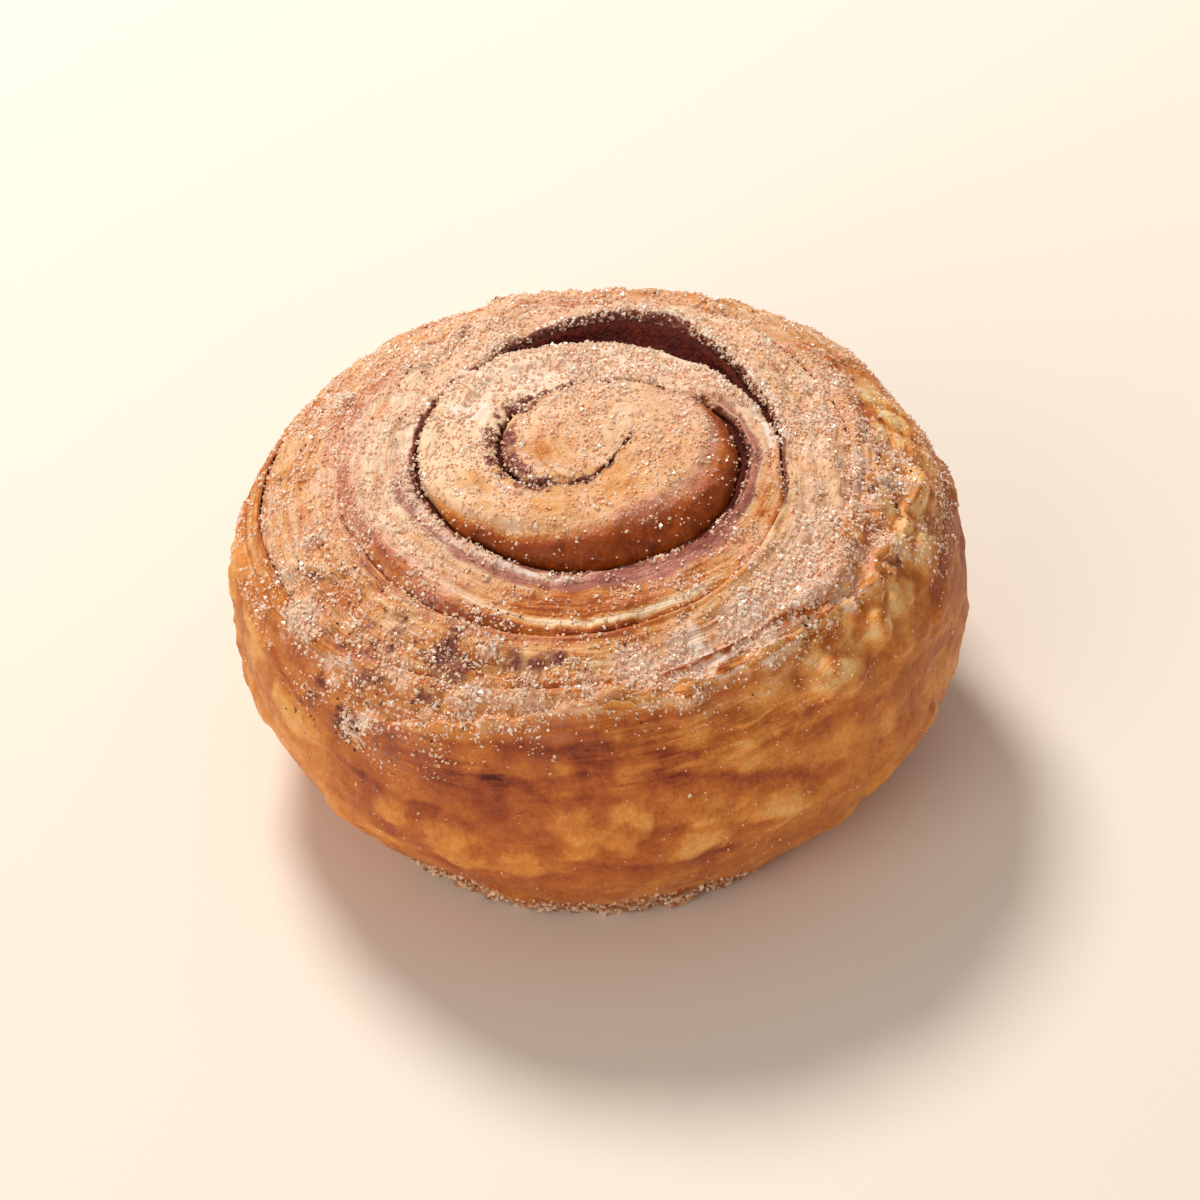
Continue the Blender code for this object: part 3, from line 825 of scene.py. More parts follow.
# Dark cinnamon, then places that the sugar has left bare
CINNAMON_SPOTS = (
    (-109, 43, 4, 0.76), (-102, 46, 5, 0.66), (-120, 45, 6, 0.82), (-132, 53, 6, 0.5),
    (-120, 41.5, 1.6, 1.2), (-135, 60, 5, 0.62), (-126, 60, 4, 0.6), (-97, 30.2, 1.4, 1.5),
    (150, 39, 5, 0.55), (138, 33, 4, 0.5), (119, 36, 5, 0.5), (160, 25, 4, 0.5), (-135, 44, 8, 0.5),
    (-155, 46, 8, 0.5), (-175, 32, 5, 0.4), (-90, 45, 6, 0.42), (-115, 38, 6, 0.44),
    (170, 47, 7, 0.42), (60, 46, 8, 0.36), (100, 47, 8, 0.38), (-60, 38, 6, 0.34),
    (-30, 31, 6, 0.34), (-145, 62, 6, 0.42), (-53, 48, 3, 0.5), (-68, 48, 3, 0.5),
    (-14, 47, 5, 0.5), (-28, 45, 4, 0.5), (150, 47, 5, 0.5), (127, 40, 4, 0.5), (-16, 43, 2.5, 0.8),
    (-7, 46, 2.5, 0.7), (-30, 49, 2.5, 0.7), (-140, 48, 5, 0.6), (-118, 52, 5, 0.6),
    (-142, 57, 4, 0.6), (-98, 44, 4, 0.55), (-150, 42, 5, 0.55),
)
BARE_SPOTS = (
    (-80, 37, 6, 1.0), (-104, 35, 5, 1.0), (-93, 35, 6, 1.0), (-96, 40.5, 3, 0.8),
    (-156, 17.4, 3.5, 0.8), (-148, 6.5, 2.4, 0.9), (-69, 13.5, 4.0, 0.7), (-110, 17, 3, 0.6),
    (24, 45, 5, 1.0), (12, 48, 5, 0.8), (36, 44, 4, 0.8), (-60, 35, 5, 0.5), (158, 33, 3, 0.8),
    (-145, 33, 4, 0.5), (-172, 45, 4, 0.6), (-150, 46, 3, 0.5),
)
# Rose-coloured syrup that has run over the layers
ROSE_SPOTS = (
    (150, 40, 6, 0.8), (130, 36, 6, 0.8), (112, 35, 5, 0.7), (170, 36, 6, 0.6), (-28, 45, 4, 0.8),
    (-14, 47, 4, 0.7), (-60, 47, 4, 0.8), (-75, 48, 4, 0.8), (-135, 50, 7, 0.7), (-150, 46, 6, 0.7),
    (-179, 36.5, 2.6, 1.0), (-154, 38, 2.6, 1.0), (167, 35, 2.6, 0.9), (-125, 58, 6, 0.7),
    (20, 41, 4, 0.5), (-170, 42, 6, 0.6), (-100, 52, 5, 0.5), (5, 17, 4, 1.0), (22, 16, 3.5, 1.0),
    (-15, 18, 3.5, 0.5), (-12, 43, 3, 0.8), (-35, 47, 3, 0.7),
)
# Redder, more deeply baked places of the wall
RED_SPOTS = (
    (-103, 58.2, 5, 0.9), (-116, 62.1, 5, 1.0), (-94, 56.3, 5, 0.8), (-108, 66, 5, 0.7),
    (-100, 71, 4, 0.7), (-131, 68.7, 4, 0.6), (-109, 61.5, 4, 0.9), (-84, 60, 4, 0.6),
    (-131, 76, 5, 0.6),
)
# Browning of single features, from 0, pale, to 1, dark brown. Under the lip it is painted shade,
# and on the ridge and in the furrow partly painted shade
# Dark edge where the ridge falls away: partly browning, partly painted shade
RIDGE_BAKE_AND_SHADE = 0.72
CREAM_BAKE = 0.04
SHOULDER_BAKE = 0.8
LIP_BAKE = 0.22
# Painted shade below the torn edge of the outer layer
UNDER_LIP_PAINTED_SHADE = 0.76
# Dark red of the furrow: partly deep browning, partly painted shade in the hollow
TROUGH_BAKE_AND_SHADE = 0.84
# Stretches of the strip or of the slot with looks of their own: first turn, last turn, fade
SHOULDER_STRETCH = (0.86, 1.36, 0.12)
RIDGE_STRETCH = (2.24, 2.7, 0.1)
CREAM_STRETCH = (2.14, 2.4, 0.05)
ROLLED_STRETCH = (4.32, 4.76, 0.08)
CURL_STRETCH = (0.0, 0.95, 0.03)
OPEN_STRETCH = (0.95, 1.66, 0.05)
BAND_STRETCH = (1.9, 2.55, 0.1)
RIM_STRETCH = (2.62, 3.05, 0.1)
ROSE_BAND_STRETCH = (2.3, 2.74, 0.08)
ROSE_RIM_STRETCH = (1.9, 2.6, 0.1)
ROSE_OUTER_STRETCH = (3.2, 3.8, 0.15)
MAUVE_STRETCH = (1.9, 2.46, 0.07)
SUGARED_RIM_STRETCH = (1.58, 2.0, 0.05)
SUGARED_CURL_STRETCH = (0.3, 0.75, 0.08)
SUGARED_GROOVE_STRETCH = (1.22, 1.6, 0.06)
# Places across the strip at turns: distance of the cream line, width of the mauve band
CREAM_LINE = ((2.15, 2.25, 2.32, 2.42), (1.5, 1.7, 3.2, 4.4))
MAUVE_WIDTHS = ((1.95, 2.1, 2.2, 2.42), (1.2, 2.0, 3.6, 3.0))
# Directions in degrees with looks of their own: first, last, fade
RED_FACING = (-140, -70, 15)
UNDER_LIP_SHADE_FACING = (-104, -62, 8)
SWEPT_FACING = (-125, -30, 10)
CREST_FACING = (-80, -40, 5)
LAMINATED_FACING = (-140.0, -45.0, 15.0)


def zone_values(points, zones):
    """The zones of each point, with the directions and distances that the looks need."""
    at = SimpleNamespace(points=points, **zones)
    at.angle = np.arctan2(points[:, 1], points[:, 0])
    at.arc = np.interp(-points[:, 2], -CURVE_HEIGHT, CURVE_LENGTH)
    at.degrees = np.degrees(at.angle)
    at.outermost = at.turn > EXIT_TURN
    at.slot = np.where(at.inner < at.outer, at.turn - 1.0, at.turn)
    at.beside_slot = np.minimum(at.inner, at.outer)
    at.along = path_length(at.turn)
    at.side = at.outermost * smooth((50.0 - points[:, 2]) / 12.0) * (at.inner > 3.0)
    at.torn = torn_share(at.angle, at.arc) * at.outermost
    at.shoulder = shoulder_share(at)
    return at


def shoulder_share(at):
    """1 on the heart's bare shoulder."""
    width = shoulder(at.turn)[1] * hump(at.turn, SHOULDER_TURN, 1.3 * SHOULDER_TURNS)
    reach = (0.9 + 0.5 * width) * (1.0 - 0.45 * smooth((at.turn - 1.2) / 0.15))
    return between(at.turn, *SHOULDER_STRETCH) * smooth(1.35 - at.outer / reach)


def side_browning_and_shade(at):
    """Browning of the outside below the sugar, with painted shade at the creases."""
    x, y, z = at.points.T
    angle, arc = at.angle, at.arc
    tone = 0.53 + 0.09 * noise(x / 25.0, y / 25.0, z / 25.0 + 31.0)
    mottles = layered(x / 7.0, y / 7.0, z / 5.0 + 37.0, 3)
    gold = gold_share(at.points)
    tone = tone + 0.06 * smooth((mottles + 0.1) / 0.5) - 0.15 * gold + 0.07 * hump(gold, 0.2, 0.2)
    tone = tone - 0.08 * facing(angle, -50, 28)
    ragged = layered(x / 2.4, y / 2.4, z / 2.0 + 39.0, 2)
    below_lip = between(arc - lip_place(angle), 1.5, 8.0, 2.5) * between(at.degrees, *RED_FACING)
    red = np.maximum(patches(at.points, RED_SPOTS), 0.25 * below_lip)
    tone = tone + 0.14 * smooth((red + 0.2 * ragged - 0.2) / 0.6)
    tone = tone - 0.05 * facing(angle, 190, 45) - 0.07 * np.clip(blisters(angle, arc) / 0.8, 0, 1)
    # Painted shade: darker on the shelf below each crease and in a line at its foot
    tone = tone - 0.16 * np.clip(creases(angle, arc), -0.6, 0.0)
    return tone + 0.14 * crease_shade_lines(angle, arc)


def torn_browning_and_shade(at):
    """Browning of the torn area, its seams darker from browning and from painted shade."""
    # Seams darker: partly browning, partly painted shade in the hollows
    seams = smooth(0.35 - 0.6 * bubbles(at.points))
    flecks = noise(*scaled(at.points, 1.2))
    lifted = np.clip(blisters(at.angle, at.arc) / 1.5, 0.0, 1.0)
    return 0.12 + 0.46 * seams + 0.12 * flecks - 0.05 * lifted


def lip_browning_and_shade(at, browning_and_shade):
    """Browning with the torn edge, painted shade under it and the furrow drawn over it."""
    angle, arc = at.angle, at.arc
    rough = 0.5 + 0.5 * noise(angle * BULGE_RADIUS / 1.7, arc / 3.0, 47.0)
    lip = lip_height(angle) * hump(arc, lip_place(angle) + 0.1, 0.7) * at.outermost
    browning_and_shade = mix(browning_and_shade, LIP_BAKE, np.clip(1.1 * lip * rough, 0.0, 0.75))
    # Painted shade: a darker band just below the torn edge, where its shadow falls
    under = hump(arc, lip_place(angle) + 2.7, 1.1) * between(at.degrees, *UNDER_LIP_SHADE_FACING)
    browning_and_shade = mix(browning_and_shade, UNDER_LIP_PAINTED_SHADE, 0.5 * under * at.outermost)
    # The furrow is drawn darker: partly its browning, partly painted shade in the hollow
    return mix(browning_and_shade, TROUGH_BAKE_AND_SHADE, 0.85 * at.outermost * trough_share(angle, arc))


def dough_browning_and_shade(at):
    """Browning of the whole dough, from 0, pale, to 1, dark brown, with some painted shade."""
    turn, inner, outer = at.turn, at.inner, at.outer
    browning_and_shade = by_quarter(TOP_BAKE, turn) + 0.12 * hump(outer, 0.0, 1.0) * (turn > 1.9)
    browning_and_shade = browning_and_shade + 0.11 * patches(at.points, BARE_SPOTS)
    # Painted shade, with some browning, on the ridge's falling outer edge
    line = smooth(1.5 - outer / (1.2 + 1.6 * hump(turn, RIDGE_TURN, 0.1)))
    browning_and_shade = mix(browning_and_shade, RIDGE_BAKE_AND_SHADE, 0.9 * between(turn, *RIDGE_STRETCH) * line)
    cream = hump(outer, np.interp(turn, *CREAM_LINE), 0.7)
    browning_and_shade = mix(browning_and_shade, CREAM_BAKE, 0.85 * between(turn, *CREAM_STRETCH) * cream)
    rolled = between(turn, *ROLLED_STRETCH) * smooth(inner / 0.5) * smooth(1.6 - inner / 3.5)
    browning_and_shade = mix(browning_and_shade, 0.5 + 0.3 * hump(inner, 0.0, 0.8), rolled)
    browning_and_shade = mix(browning_and_shade, SHOULDER_BAKE, at.shoulder)
    browning_and_shade = mix(browning_and_shade, side_browning_and_shade(at), at.side)
    return lip_browning_and_shade(at, mix(browning_and_shade, torn_browning_and_shade(at), at.torn))


def cinnamon_share(at):
    """1 where the dough is stained by the filling."""
    turn, inner, slot, beside = at.turn, at.inner, at.slot, at.beside_slot
    shown = openness(slot) * (slot > 0)
    dots = 0.6 + 0.55 * noise(at.along / 1.4, beside / 1.4, 52.0)
    curl = between(slot, *CURL_STRETCH) * smooth(1.5 - beside / (0.6 + 1.5 * hump(slot, 0.48, 0.2)))
    edge = between(slot, *OPEN_STRETCH) * (slot < turn) * smooth(1.4 - inner / 0.9)
    band = 0.95 * between(turn, *BAND_STRETCH) * smooth(1.5 - inner / 0.65)
    rim = 0.8 * between(turn, *RIM_STRETCH) * smooth(1.4 - inner / 0.8)
    crumbly = 0.85 + 0.6 * layered(*scaled(at.points, 2.0), 2)
    share = strongest(shown * smooth(at.depth / 0.8),
                      np.clip(1.1 * np.maximum(curl, edge) * dots, 0.0, 1.0),
                      band * (0.7 + 0.5 * dots), rim,
                      patches(at.points, CINNAMON_SPOTS) * crumbly)
    return np.clip(share * np.where(at.depth > 0.3, shown, 1.0) * (1.0 - at.shoulder), 0.0, 1.0)


def rose_share(at):
    """1 where syrup has stained the layers."""
    turn, inner = at.turn, at.inner
    stripes = 0.6 + 0.8 * noise(at.along / 18.0, inner / 0.9, turn + 55.0)
    band = 0.9 * (between(turn, *ROSE_BAND_STRETCH) * smooth(inner / 0.8)
                  * (0.5 + 0.5 * hump(at.outer, 1.0, 2.5)))
    rim = between(turn, *ROSE_RIM_STRETCH) * smooth(1.5 - inner / 1.6)
    over = 0.85 * (between(turn, *ROSE_OUTER_STRETCH) * smooth(1.4 - inner / 2.0))
    share = strongest(band, rim, over, patches(at.points, ROSE_SPOTS)) * stripes
    upper = at.shoulder * (1.0 - at.shoulder) * smooth((1.3 - turn) / 0.1)
    return np.clip(np.maximum(share, 7.0 * upper) * (1.0 - at.shoulder), 0.0, 1.0)


def mauve_share(at):
    """1 in the smooth, syrupy band under the heart."""
    ends = between(at.turn, *MAUVE_STRETCH) * (at.depth < 0.3)
    width = np.interp(at.turn, *MAUVE_WIDTHS) + 0.5 * noise(at.along / 3.0, 5.0, 57.0)
    return ends * between(at.inner, 0.4, width, 0.7)


def sugar_share(at):
    """1 where the sugar lies closest."""
    turn, inner, slot, beside = at.turn, at.inner, at.slot, at.beside_slot
    height = at.points[:, 2]
    dusted = 0.29 + 0.08 * smooth(np.abs(turn - 1.35) / 0.5) + 0.2 * hump(turn, 1.8, 0.2)
    share = smooth((height - 34.0) / 8.0) * dusted
    below = smooth((at.arc - lip_place(at.angle) - 1.0) / 2.5)
    share = share * (1.0 - 0.75 * below * between(at.degrees, *SWEPT_FACING) * at.outermost)
    share = share * (1.0 - 0.8 * patches(at.points, BARE_SPOTS)) * (1.0 - 0.1 * at.torn)
    share = share * (1.0 - 0.5 * mauve_share(at))
    rolled = between(turn, *ROLLED_STRETCH) * smooth(2.0 - inner / 3.0)
    share = share * (1.0 - 0.5 * rolled)
    dust = patches(at.points, DUST_SPOTS) * (1.0 - 0.85 * below * at.outermost)
    lumpy = 0.88 + 0.6 * layered(*scaled(at.points, 2.2), 2)
    crust = patches(at.points, CRUST_SPOTS) * np.clip(lumpy, 0.4, 1.0)
    crest = hump(at.arc, lip_place(at.angle) - 0.3, 0.8) * between(at.degrees, *CREST_FACING)
    share = strongest(share, crust, dust, 0.85 * crest * at.outermost)
    share = share * (1.0 - 0.9 * trough_share(at.angle, at.arc) * at.outermost)
    rims = between(slot, *SUGARED_RIM_STRETCH) * hump(beside, 1.0, 1.2)
    curl = between(slot, *SUGARED_CURL_STRETCH) * hump(beside, 2.2, 1.2)
    groove = between(slot, *SUGARED_GROOVE_STRETCH) * (slot < turn) * hump(inner, 1.4, 1.3)
    share = strongest(share, 0.8 * rims, 0.6 * curl, 0.7 * groove, 0.012 * at.side,
                      at.outermost * foot_share(at.angle, height))
    share = share * (1.0 - 0.7 * at.shoulder) * np.where(at.depth > 0.6, 0.0, 1.0)
    return np.clip(share, 0.0, 1.0)


def layer_share(at):
    """How strongly the layer lines show."""
    turn = at.turn
    layers = 0.35 + 0.75 * smooth((turn - 1.6) / 0.6) * (1.0 - 0.5 * facing(at.angle, *CALM_FACING))
    layers = layers + 0.4 * (1.0 - smooth((turn - 0.5) / 0.5))
    laminated = between(at.arc, 50.0, 61.0, 4.0) * between(at.degrees, *LAMINATED_FACING)
    broken = smooth(0.5 + 1.6 * noise(at.along / 9.0, at.arc / 2.6, 58.0))
    plain = (0.97 - 0.75 * laminated * broken) * at.side
    return layers * (1.0 - plain) * (1.0 - 0.7 * at.shoulder)


def dough_looks(points, zones):
    """What the material needs to know at each point of the dough."""
    at = zone_values(points, zones)
    strip = np.stack([at.along, at.inner + at.depth, 7.0 * at.turn], axis=1)
    return {"browning_and_shade": dough_browning_and_shade(at), "cinnamon": cinnamon_share(at), "sugar": sugar_share(at),
            "layers": layer_share(at), "shoulder": at.shoulder, "strip": strip,
            "rose": rose_share(at), "side": np.maximum(at.side, at.torn),
            "mauve": mauve_share(at), "foot": at.outermost * foot_share(at.angle, points[:, 2])}


def make_dough():
    inner_points, inner_zones = inner_rows()
    outer_points, outer_zones = outer_rows()
    inner_shape = inner_points.shape[:2]
    outer_shape = outer_points.shape[:2]
    second = inner_shape[0] * inner_shape[1]
    faces = tube_faces(0, *inner_shape) + tube_faces(second, *outer_shape)
    faces += bridge_faces(second - inner_shape[1], loop_marks(CROWN_POINTS, WALL_COUNT), second,
                          loop_marks(WRAP_CROWN_POINTS, SIDE_POINTS))
    points = np.concatenate([inner_points.reshape(-1, 3), outer_points.reshape(-1, 3)])
    zones = {key: np.concatenate([inner_zones[key].ravel(), outer_zones[key].ravel()])
             for key in inner_zones}
    return new_object("bun_dough", points, faces, dough_looks(points, zones), merge=True)


RIBBON_FIRST_TURN = 0.06
RIBBON_LAST_TURN = 3.6
RIBBON_STEPS_PER_TURN = (150, 280, 90, 60)
RIBBON_BOTTOM = 0.4
RIBBON_GAP = 0.14
RIBBON_TOP_DEPTH = 0.45
PINCHED_TOP_DEPTH = 2.6
RIBBON_SHARES = (0.12, 0.3, 0.5, 0.7, 0.88)
RIBBON_RIM_STEPS = (4.8, 3.6, 2.6)
RIBBON_TOP_STEPS = (1.9, 1.3, 0.8, 0.3)
RIBBON_LEAST_HALF = 0.1
RIBBON_ROUGH = 0.16
RIBBON_SMEAR = 0.5
RIBBON_CROWN = 0.3


def make_filling():
    """The cinnamon as a ribbon that stands in the slot, rough where it shows."""
    turns = turn_row(RIBBON_FIRST_TURN, RIBBON_LAST_TURN, RIBBON_STEPS_PER_TURN)
    angle = turn_angle(turns)
    shown = openness(turns)
    rim = curve_point(edge_arc(turns, 1))[1] + by_quarter(TURN_RISE, turns + 1.0) - edge_drop(turns)
    top = rim - mix(PINCHED_TOP_DEPTH, RIBBON_TOP_DEPTH, shown)
    foot = rim - LEAN_DEPTH
    heights = [RIBBON_BOTTOM + 0 * rim] + [share * foot for share in WALL_LEVELS[0][1:]]
    heights += [rim - depth for depth in RIBBON_RIM_STEPS]
    heights += [top - depth for depth in RIBBON_TOP_STEPS]
    inner = []
    outer = []
    for z in heights:
        depth = rim - z
        middle = curve_point(slot_arc(turns))[0] * taper(z) + slot_lean(turns, depth)
        half = np.maximum(slot_half_width(turns, depth) - RIBBON_GAP, RIBBON_LEAST_HALF)
        rough = RIBBON_ROUGH * layered(path_length(turns) / 1.4, z / 1.4, 50.0, 2) * shown
        smear = hump(turns, CRESCENT_TURN, CRESCENT_TURNS) * smooth(1.0 - depth / LEAN_DEPTH)
        outer.append(place(angle, middle + half, z))
        inner.append(place(angle, middle - half - RIBBON_SMEAR * smear + rough, z))
    crown = []
    for share in RIBBON_SHARES:
        base = inner[-1] + (outer[-1] - inner[-1]) * share
        grain = layered(base[:, 0] / 0.9, base[:, 1] / 0.9, 60.0 + share, 2)
        base[:, 2] += RIBBON_CROWN * np.sin(np.pi * share) + RIBBON_ROUGH * grain * shown
        crown.append(base)
    points = np.stack(inner + crown + outer[::-1], axis=1)
    rows, count = points.shape[:2]
    flat = points.reshape(-1, 3)
    strip = np.stack([np.repeat(path_length(turns), count), flat[:, 2], 0 * flat[:, 2]], axis=1)
    return new_object("bun_filling", flat, tube_faces(0, rows, count), {"strip": strip}, merge=True)


def surface_samples(thing, rng, count, weight_key, power, clump):
    """Seeded places on a mesh, more where an attribute is high, with their normals."""
    mesh = thing.data
    mesh.calc_loop_triangles()
    corners = np.empty(len(mesh.loop_triangles) * 3, dtype=np.int64)
    mesh.loop_triangles.foreach_get("vertices", corners)
    corners = corners.reshape(-1, 3)
    points = np.empty(len(mesh.vertices) * 3)
    mesh.vertices.foreach_get("co", points)
    points = points.reshape(-1, 3) / MM - AXIS_PLACE
    weights = np.empty(len(mesh.vertices), dtype=np.float32)
    mesh.attributes[weight_key].data.foreach_get("value", weights)
    weights = weights[corners].mean(axis=1)
    a, b, c = (points[corners[:, i]] for i in range(3))
    cross = np.cross(b - a, c - a)
    area = np.linalg.norm(cross, axis=1)
    normal = cross / np.maximum(area, 1e-9)[:, None]
    middle = (a + b + c) / 3
    lumps = noise(*scaled(middle, 5.0)) + 0.8 * noise(*scaled(middle, 1.6))
    chance = area * weights**power * np.clip(1.0 + clump * lumps, 0.05, None)
    chance[normal[:, 2] < UNDERSIDE] = 0.0
    total = np.cumsum(chance)
    picked = np.searchsorted(total, rng.random(count) * total[-1])
    first, second = rng.random(count), rng.random(count)
    over = first + second > 1.0
    first[over], second[over] = 1 - first[over], 1 - second[over]
    a, b, c = a[picked], b[picked], c[picked]
    spots = a + (b - a) * first[:, None] + (c - a) * second[:, None]
    return spots, normal[picked], weights[picked]


# An eight-sided crystal of one millimetre or so, before it is bent and stretched
GRAIN_CORNERS = 0.6 * np.array([(1, 0, 0), (-1, 0, 0), (0, 1, 0), (0, -1, 0), (0, 0, 1),
                                (0, 0, -1)])
GRAIN_FACES = np.array([(0, 2, 4), (2, 1, 4), (1, 3, 4), (3, 0, 4), (2, 0, 5), (1, 2, 5), (3, 1, 5),
                        (0, 3, 5)])
GRAIN_JITTER = 0.2
GRAIN_STRETCH = (0.6, 1.15)
GRAIN_FLOOR = 0.02
# Normals steeper downward than this face the ground
UNDERSIDE = -0.93
# Loose grains: name, slot, how they are scattered with sizes in millimetres, and their looks
GRAINS = (
    ("sugar_white", "baked_dough",
     dict(seed=11, count=17000, weight_key="sugar", power=1.9, sizes=(0.35, 1.05), clump=1.4,
          bury=0.3),
     dict(stops=((0.1, (250, 206, 174)), (0.9, (255, 238, 220))), roughness=0.25, subsurface=0.2)),
    ("sugar_peach", "baked_dough",
     dict(seed=12, count=16000, weight_key="sugar", power=1.0, sizes=(0.3, 0.8), clump=1.0,
          bury=0.3),
     dict(stops=((0.1, (236, 178, 138)), (0.9, (255, 218, 186))), roughness=0.3, subsurface=0.2)),
    ("cinnamon_grains", "cinnamon_filling",
     dict(seed=13, count=14000, weight_key="cinnamon", power=1.5, sizes=(0.25, 0.8), clump=0.9,
          bury=0.3),
     dict(stops=((0.1, (58, 24, 20)), (0.9, (140, 80, 60))), roughness=0.6, subsurface=0.0)),
    ("foot_crumbs", "baked_dough",
     dict(seed=14, count=2600, weight_key="foot", power=1.0, sizes=(0.6, 1.7), clump=0.6,
          bury=0.35),
     dict(stops=((0.1, (160, 98, 56)), (0.5, (214, 156, 108)), (0.9, (250, 220, 190))),
          roughness=0.4, subsurface=0.2)),
)


def make_grains(name, ground, seed, count, weight_key, power, sizes, clump, bury):
    """Loose crystals, each an uneven block, seated on the ground they lie on."""
    rng = np.random.default_rng(seed)
    spots, normals, weights = surface_samples(ground, rng, count, weight_key, power, clump)
    size = sizes[0] + (sizes[1] - sizes[0]) * rng.random(count) ** 2 * (0.4 + 0.6 * weights)
    shape = rng.uniform(*GRAIN_STRETCH, (count, 1, 3)) * size[:, None, None]
    corners = len(GRAIN_CORNERS)
    jitter = rng.uniform(-GRAIN_JITTER, GRAIN_JITTER, (count, corners, 3))
    block = (GRAIN_CORNERS[None] + jitter) * shape
    turns = rng.normal(size=(count, 4))
    w, i, j, k = (turns / np.linalg.norm(turns, axis=1)[:, None]).T
    matrix = np.array([[1 - 2 * (j * j + k * k), 2 * (i * j - k * w), 2 * (i * k + j * w)],
                       [2 * (i * j + k * w), 1 - 2 * (i * i + k * k), 2 * (j * k - i * w)],
                       [2 * (i * k - j * w), 2 * (j * k + i * w), 1 - 2 * (i * i + j * j)]])
    block = np.einsum("rcn,nvc->nvr", matrix, block)
    centre = spots + normals * (size * (0.5 - bury) * 0.9)[:, None]
    points = (block + centre[:, None]).reshape(-1, 3)
    points[:, 2] = np.maximum(points[:, 2], GRAIN_FLOOR)
    faces = (GRAIN_FACES[None] + corners * np.arange(count)[:, None, None]).reshape(-1, 3).tolist()
    shade = np.repeat(rng.random(count), corners)
    return new_object(name, points, faces, {"shade": shade}, flat=True)


FLAKE_ALONG = np.linspace(-1.0, 1.0, 11)
FLAKE_ACROSS = np.linspace(0.0, 1.0, 7)
# Thickness at the root and at the tip, and height of the root over the outside
FLAKE_THICK = 0.32
FLAKE_THIN = 0.14
FLAKE_CLEAR = 0.12
LIP_FLAKE_DEGREES = np.linspace(-86, -30, 15)
LOOSE_FLAKES = 12
LOOSE_FLAKE_DEGREES = (-42, 10)
LOOSE_FLAKE_ROOTS = (42.0, 52.0)
# Half length, width and curl in radians, each from least to most
LIP_FLAKE_SIZES = ((1.6, 3.8), (0.9, 1.8), (0.4, 0.9))
LOOSE_FLAKE_SIZES = ((1.4, 3.0), (0.8, 1.5), (0.3, 0.7))


def flake_spots(rng):
    """Direction, place of the root, half length, width and curl of each flake."""
    spots = []
    for angle in np.radians(LIP_FLAKE_DEGREES):
        angle = angle + rng.uniform(-0.05, 0.05)
        root = float(lip_place(angle)) + rng.uniform(0.4, 2.2)
        spots.append((angle, root, *(rng.uniform(*size) for size in LIP_FLAKE_SIZES)))
    for _ in range(LOOSE_FLAKES):
        angle = rng.uniform(*np.radians(LOOSE_FLAKE_DEGREES))
        root = rng.uniform(*LOOSE_FLAKE_ROOTS)
        spots.append((angle, root, *(rng.uniform(*size) for size in LOOSE_FLAKE_SIZES)))
    return spots


def flake_faces(first):
    """Faces of a flake's upper sheet, its lower sheet and the rim between them."""
    shape = (len(FLAKE_ALONG), len(FLAKE_ACROSS))
    count = shape[0] * shape[1]
    index = first + np.arange(count).reshape(shape)
    sheet = np.stack([index[:-1, :-1], index[1:, :-1], index[1:, 1:], index[:-1, 1:]], axis=-1)
    sheet = sheet.reshape(-1, 4)
    ring = np.concatenate([index[:, 0], index[-1, 1:], index[-2::-1, -1], index[0, -2:0:-1]])
    after = np.roll(ring, -1)
    rim = np.stack([ring, ring + count, after + count, after], axis=-1)
    return np.concatenate([sheet, sheet[:, ::-1] + count, rim[:, ::-1]]).tolist()


def make_flakes():
    """Thin curled sheets of the outer layers, rooted in the outside."""
    rng = np.random.default_rng(29)
    points = []
    bakes_and_shade = []
    faces = []
    along = FLAKE_ALONG[:, None]
    across = FLAKE_ACROSS[None, :]
    for angle, root, half_length, width, curl in flake_spots(rng):
        ragged = 1.0 + 0.35 * noise(along * half_length / 0.9 + angle * 40.0, 1.0, 87.0)
        widths = width * ragged * np.sqrt(np.maximum(1.0 - 0.85 * along**2, 0.05))
        bend = curl * across
        reach = widths * np.sin(bend) / curl
        rise = widths * (1.0 - np.cos(bend)) / curl
        angles = angle + along * half_length / BULGE_RADIUS + 0 * reach
        arcs = root - reach + 0.3 * rng.uniform(-1, 1) * along * half_length
        rest = (-angles / (2 * np.pi)) % 1.0
        turns = np.where(rest < EXIT_TURN - 3.0, 4.0 + rest, 3.0 + rest)
        turns = np.minimum(turns, LAST_TURN - 0.01)
        from_edge = np.maximum(arcs - edge_arc(turns - 1.0, 1), 0.0)
        thick = mix(FLAKE_THICK, FLAKE_THIN, across)
        faces += flake_faces(sum(len(sheet) for sheet in points))
        upper = FLAKE_CLEAR + rise
        lower = upper - thick - 0.25 * (1 - bend / curl)
        for level in (upper, lower):
            points.append(wrap_points(turns, arcs, from_edge, level).reshape(-1, 3))
        tip = across**1.5 + 0 * reach
        # Painted shade: the lower sheet of each flake, facing the outside, is darker than the upper
        # one
        bakes_and_shade += [mix(0.5, 0.24, tip).ravel(), mix(0.6, 0.42, tip).ravel()]
    points = np.concatenate(points)
    browning_and_shade = np.concatenate(bakes_and_shade)
    none = 0 * browning_and_shade
    strip = np.stack([points[:, 0], points[:, 2], points[:, 1]], axis=1)
    looks = {"browning_and_shade": browning_and_shade, "cinnamon": none, "sugar": none + 0.1, "layers": none + 0.1,
             "shoulder": none, "rose": none, "mauve": none, "side": none + 0.7, "strip": strip}
    return new_object("pastry_flakes", points, faces, looks)


def linear(colour):
    """Scene colour from a colour on the usual 0 to 255 scale."""
    share = np.asarray(colour, dtype=float) / 255.0
    value = np.where(share <= 0.04045, share / 12.92, ((share + 0.055) / 1.055) ** 2.4)
    return (*[float(v) for v in value], 1.0)


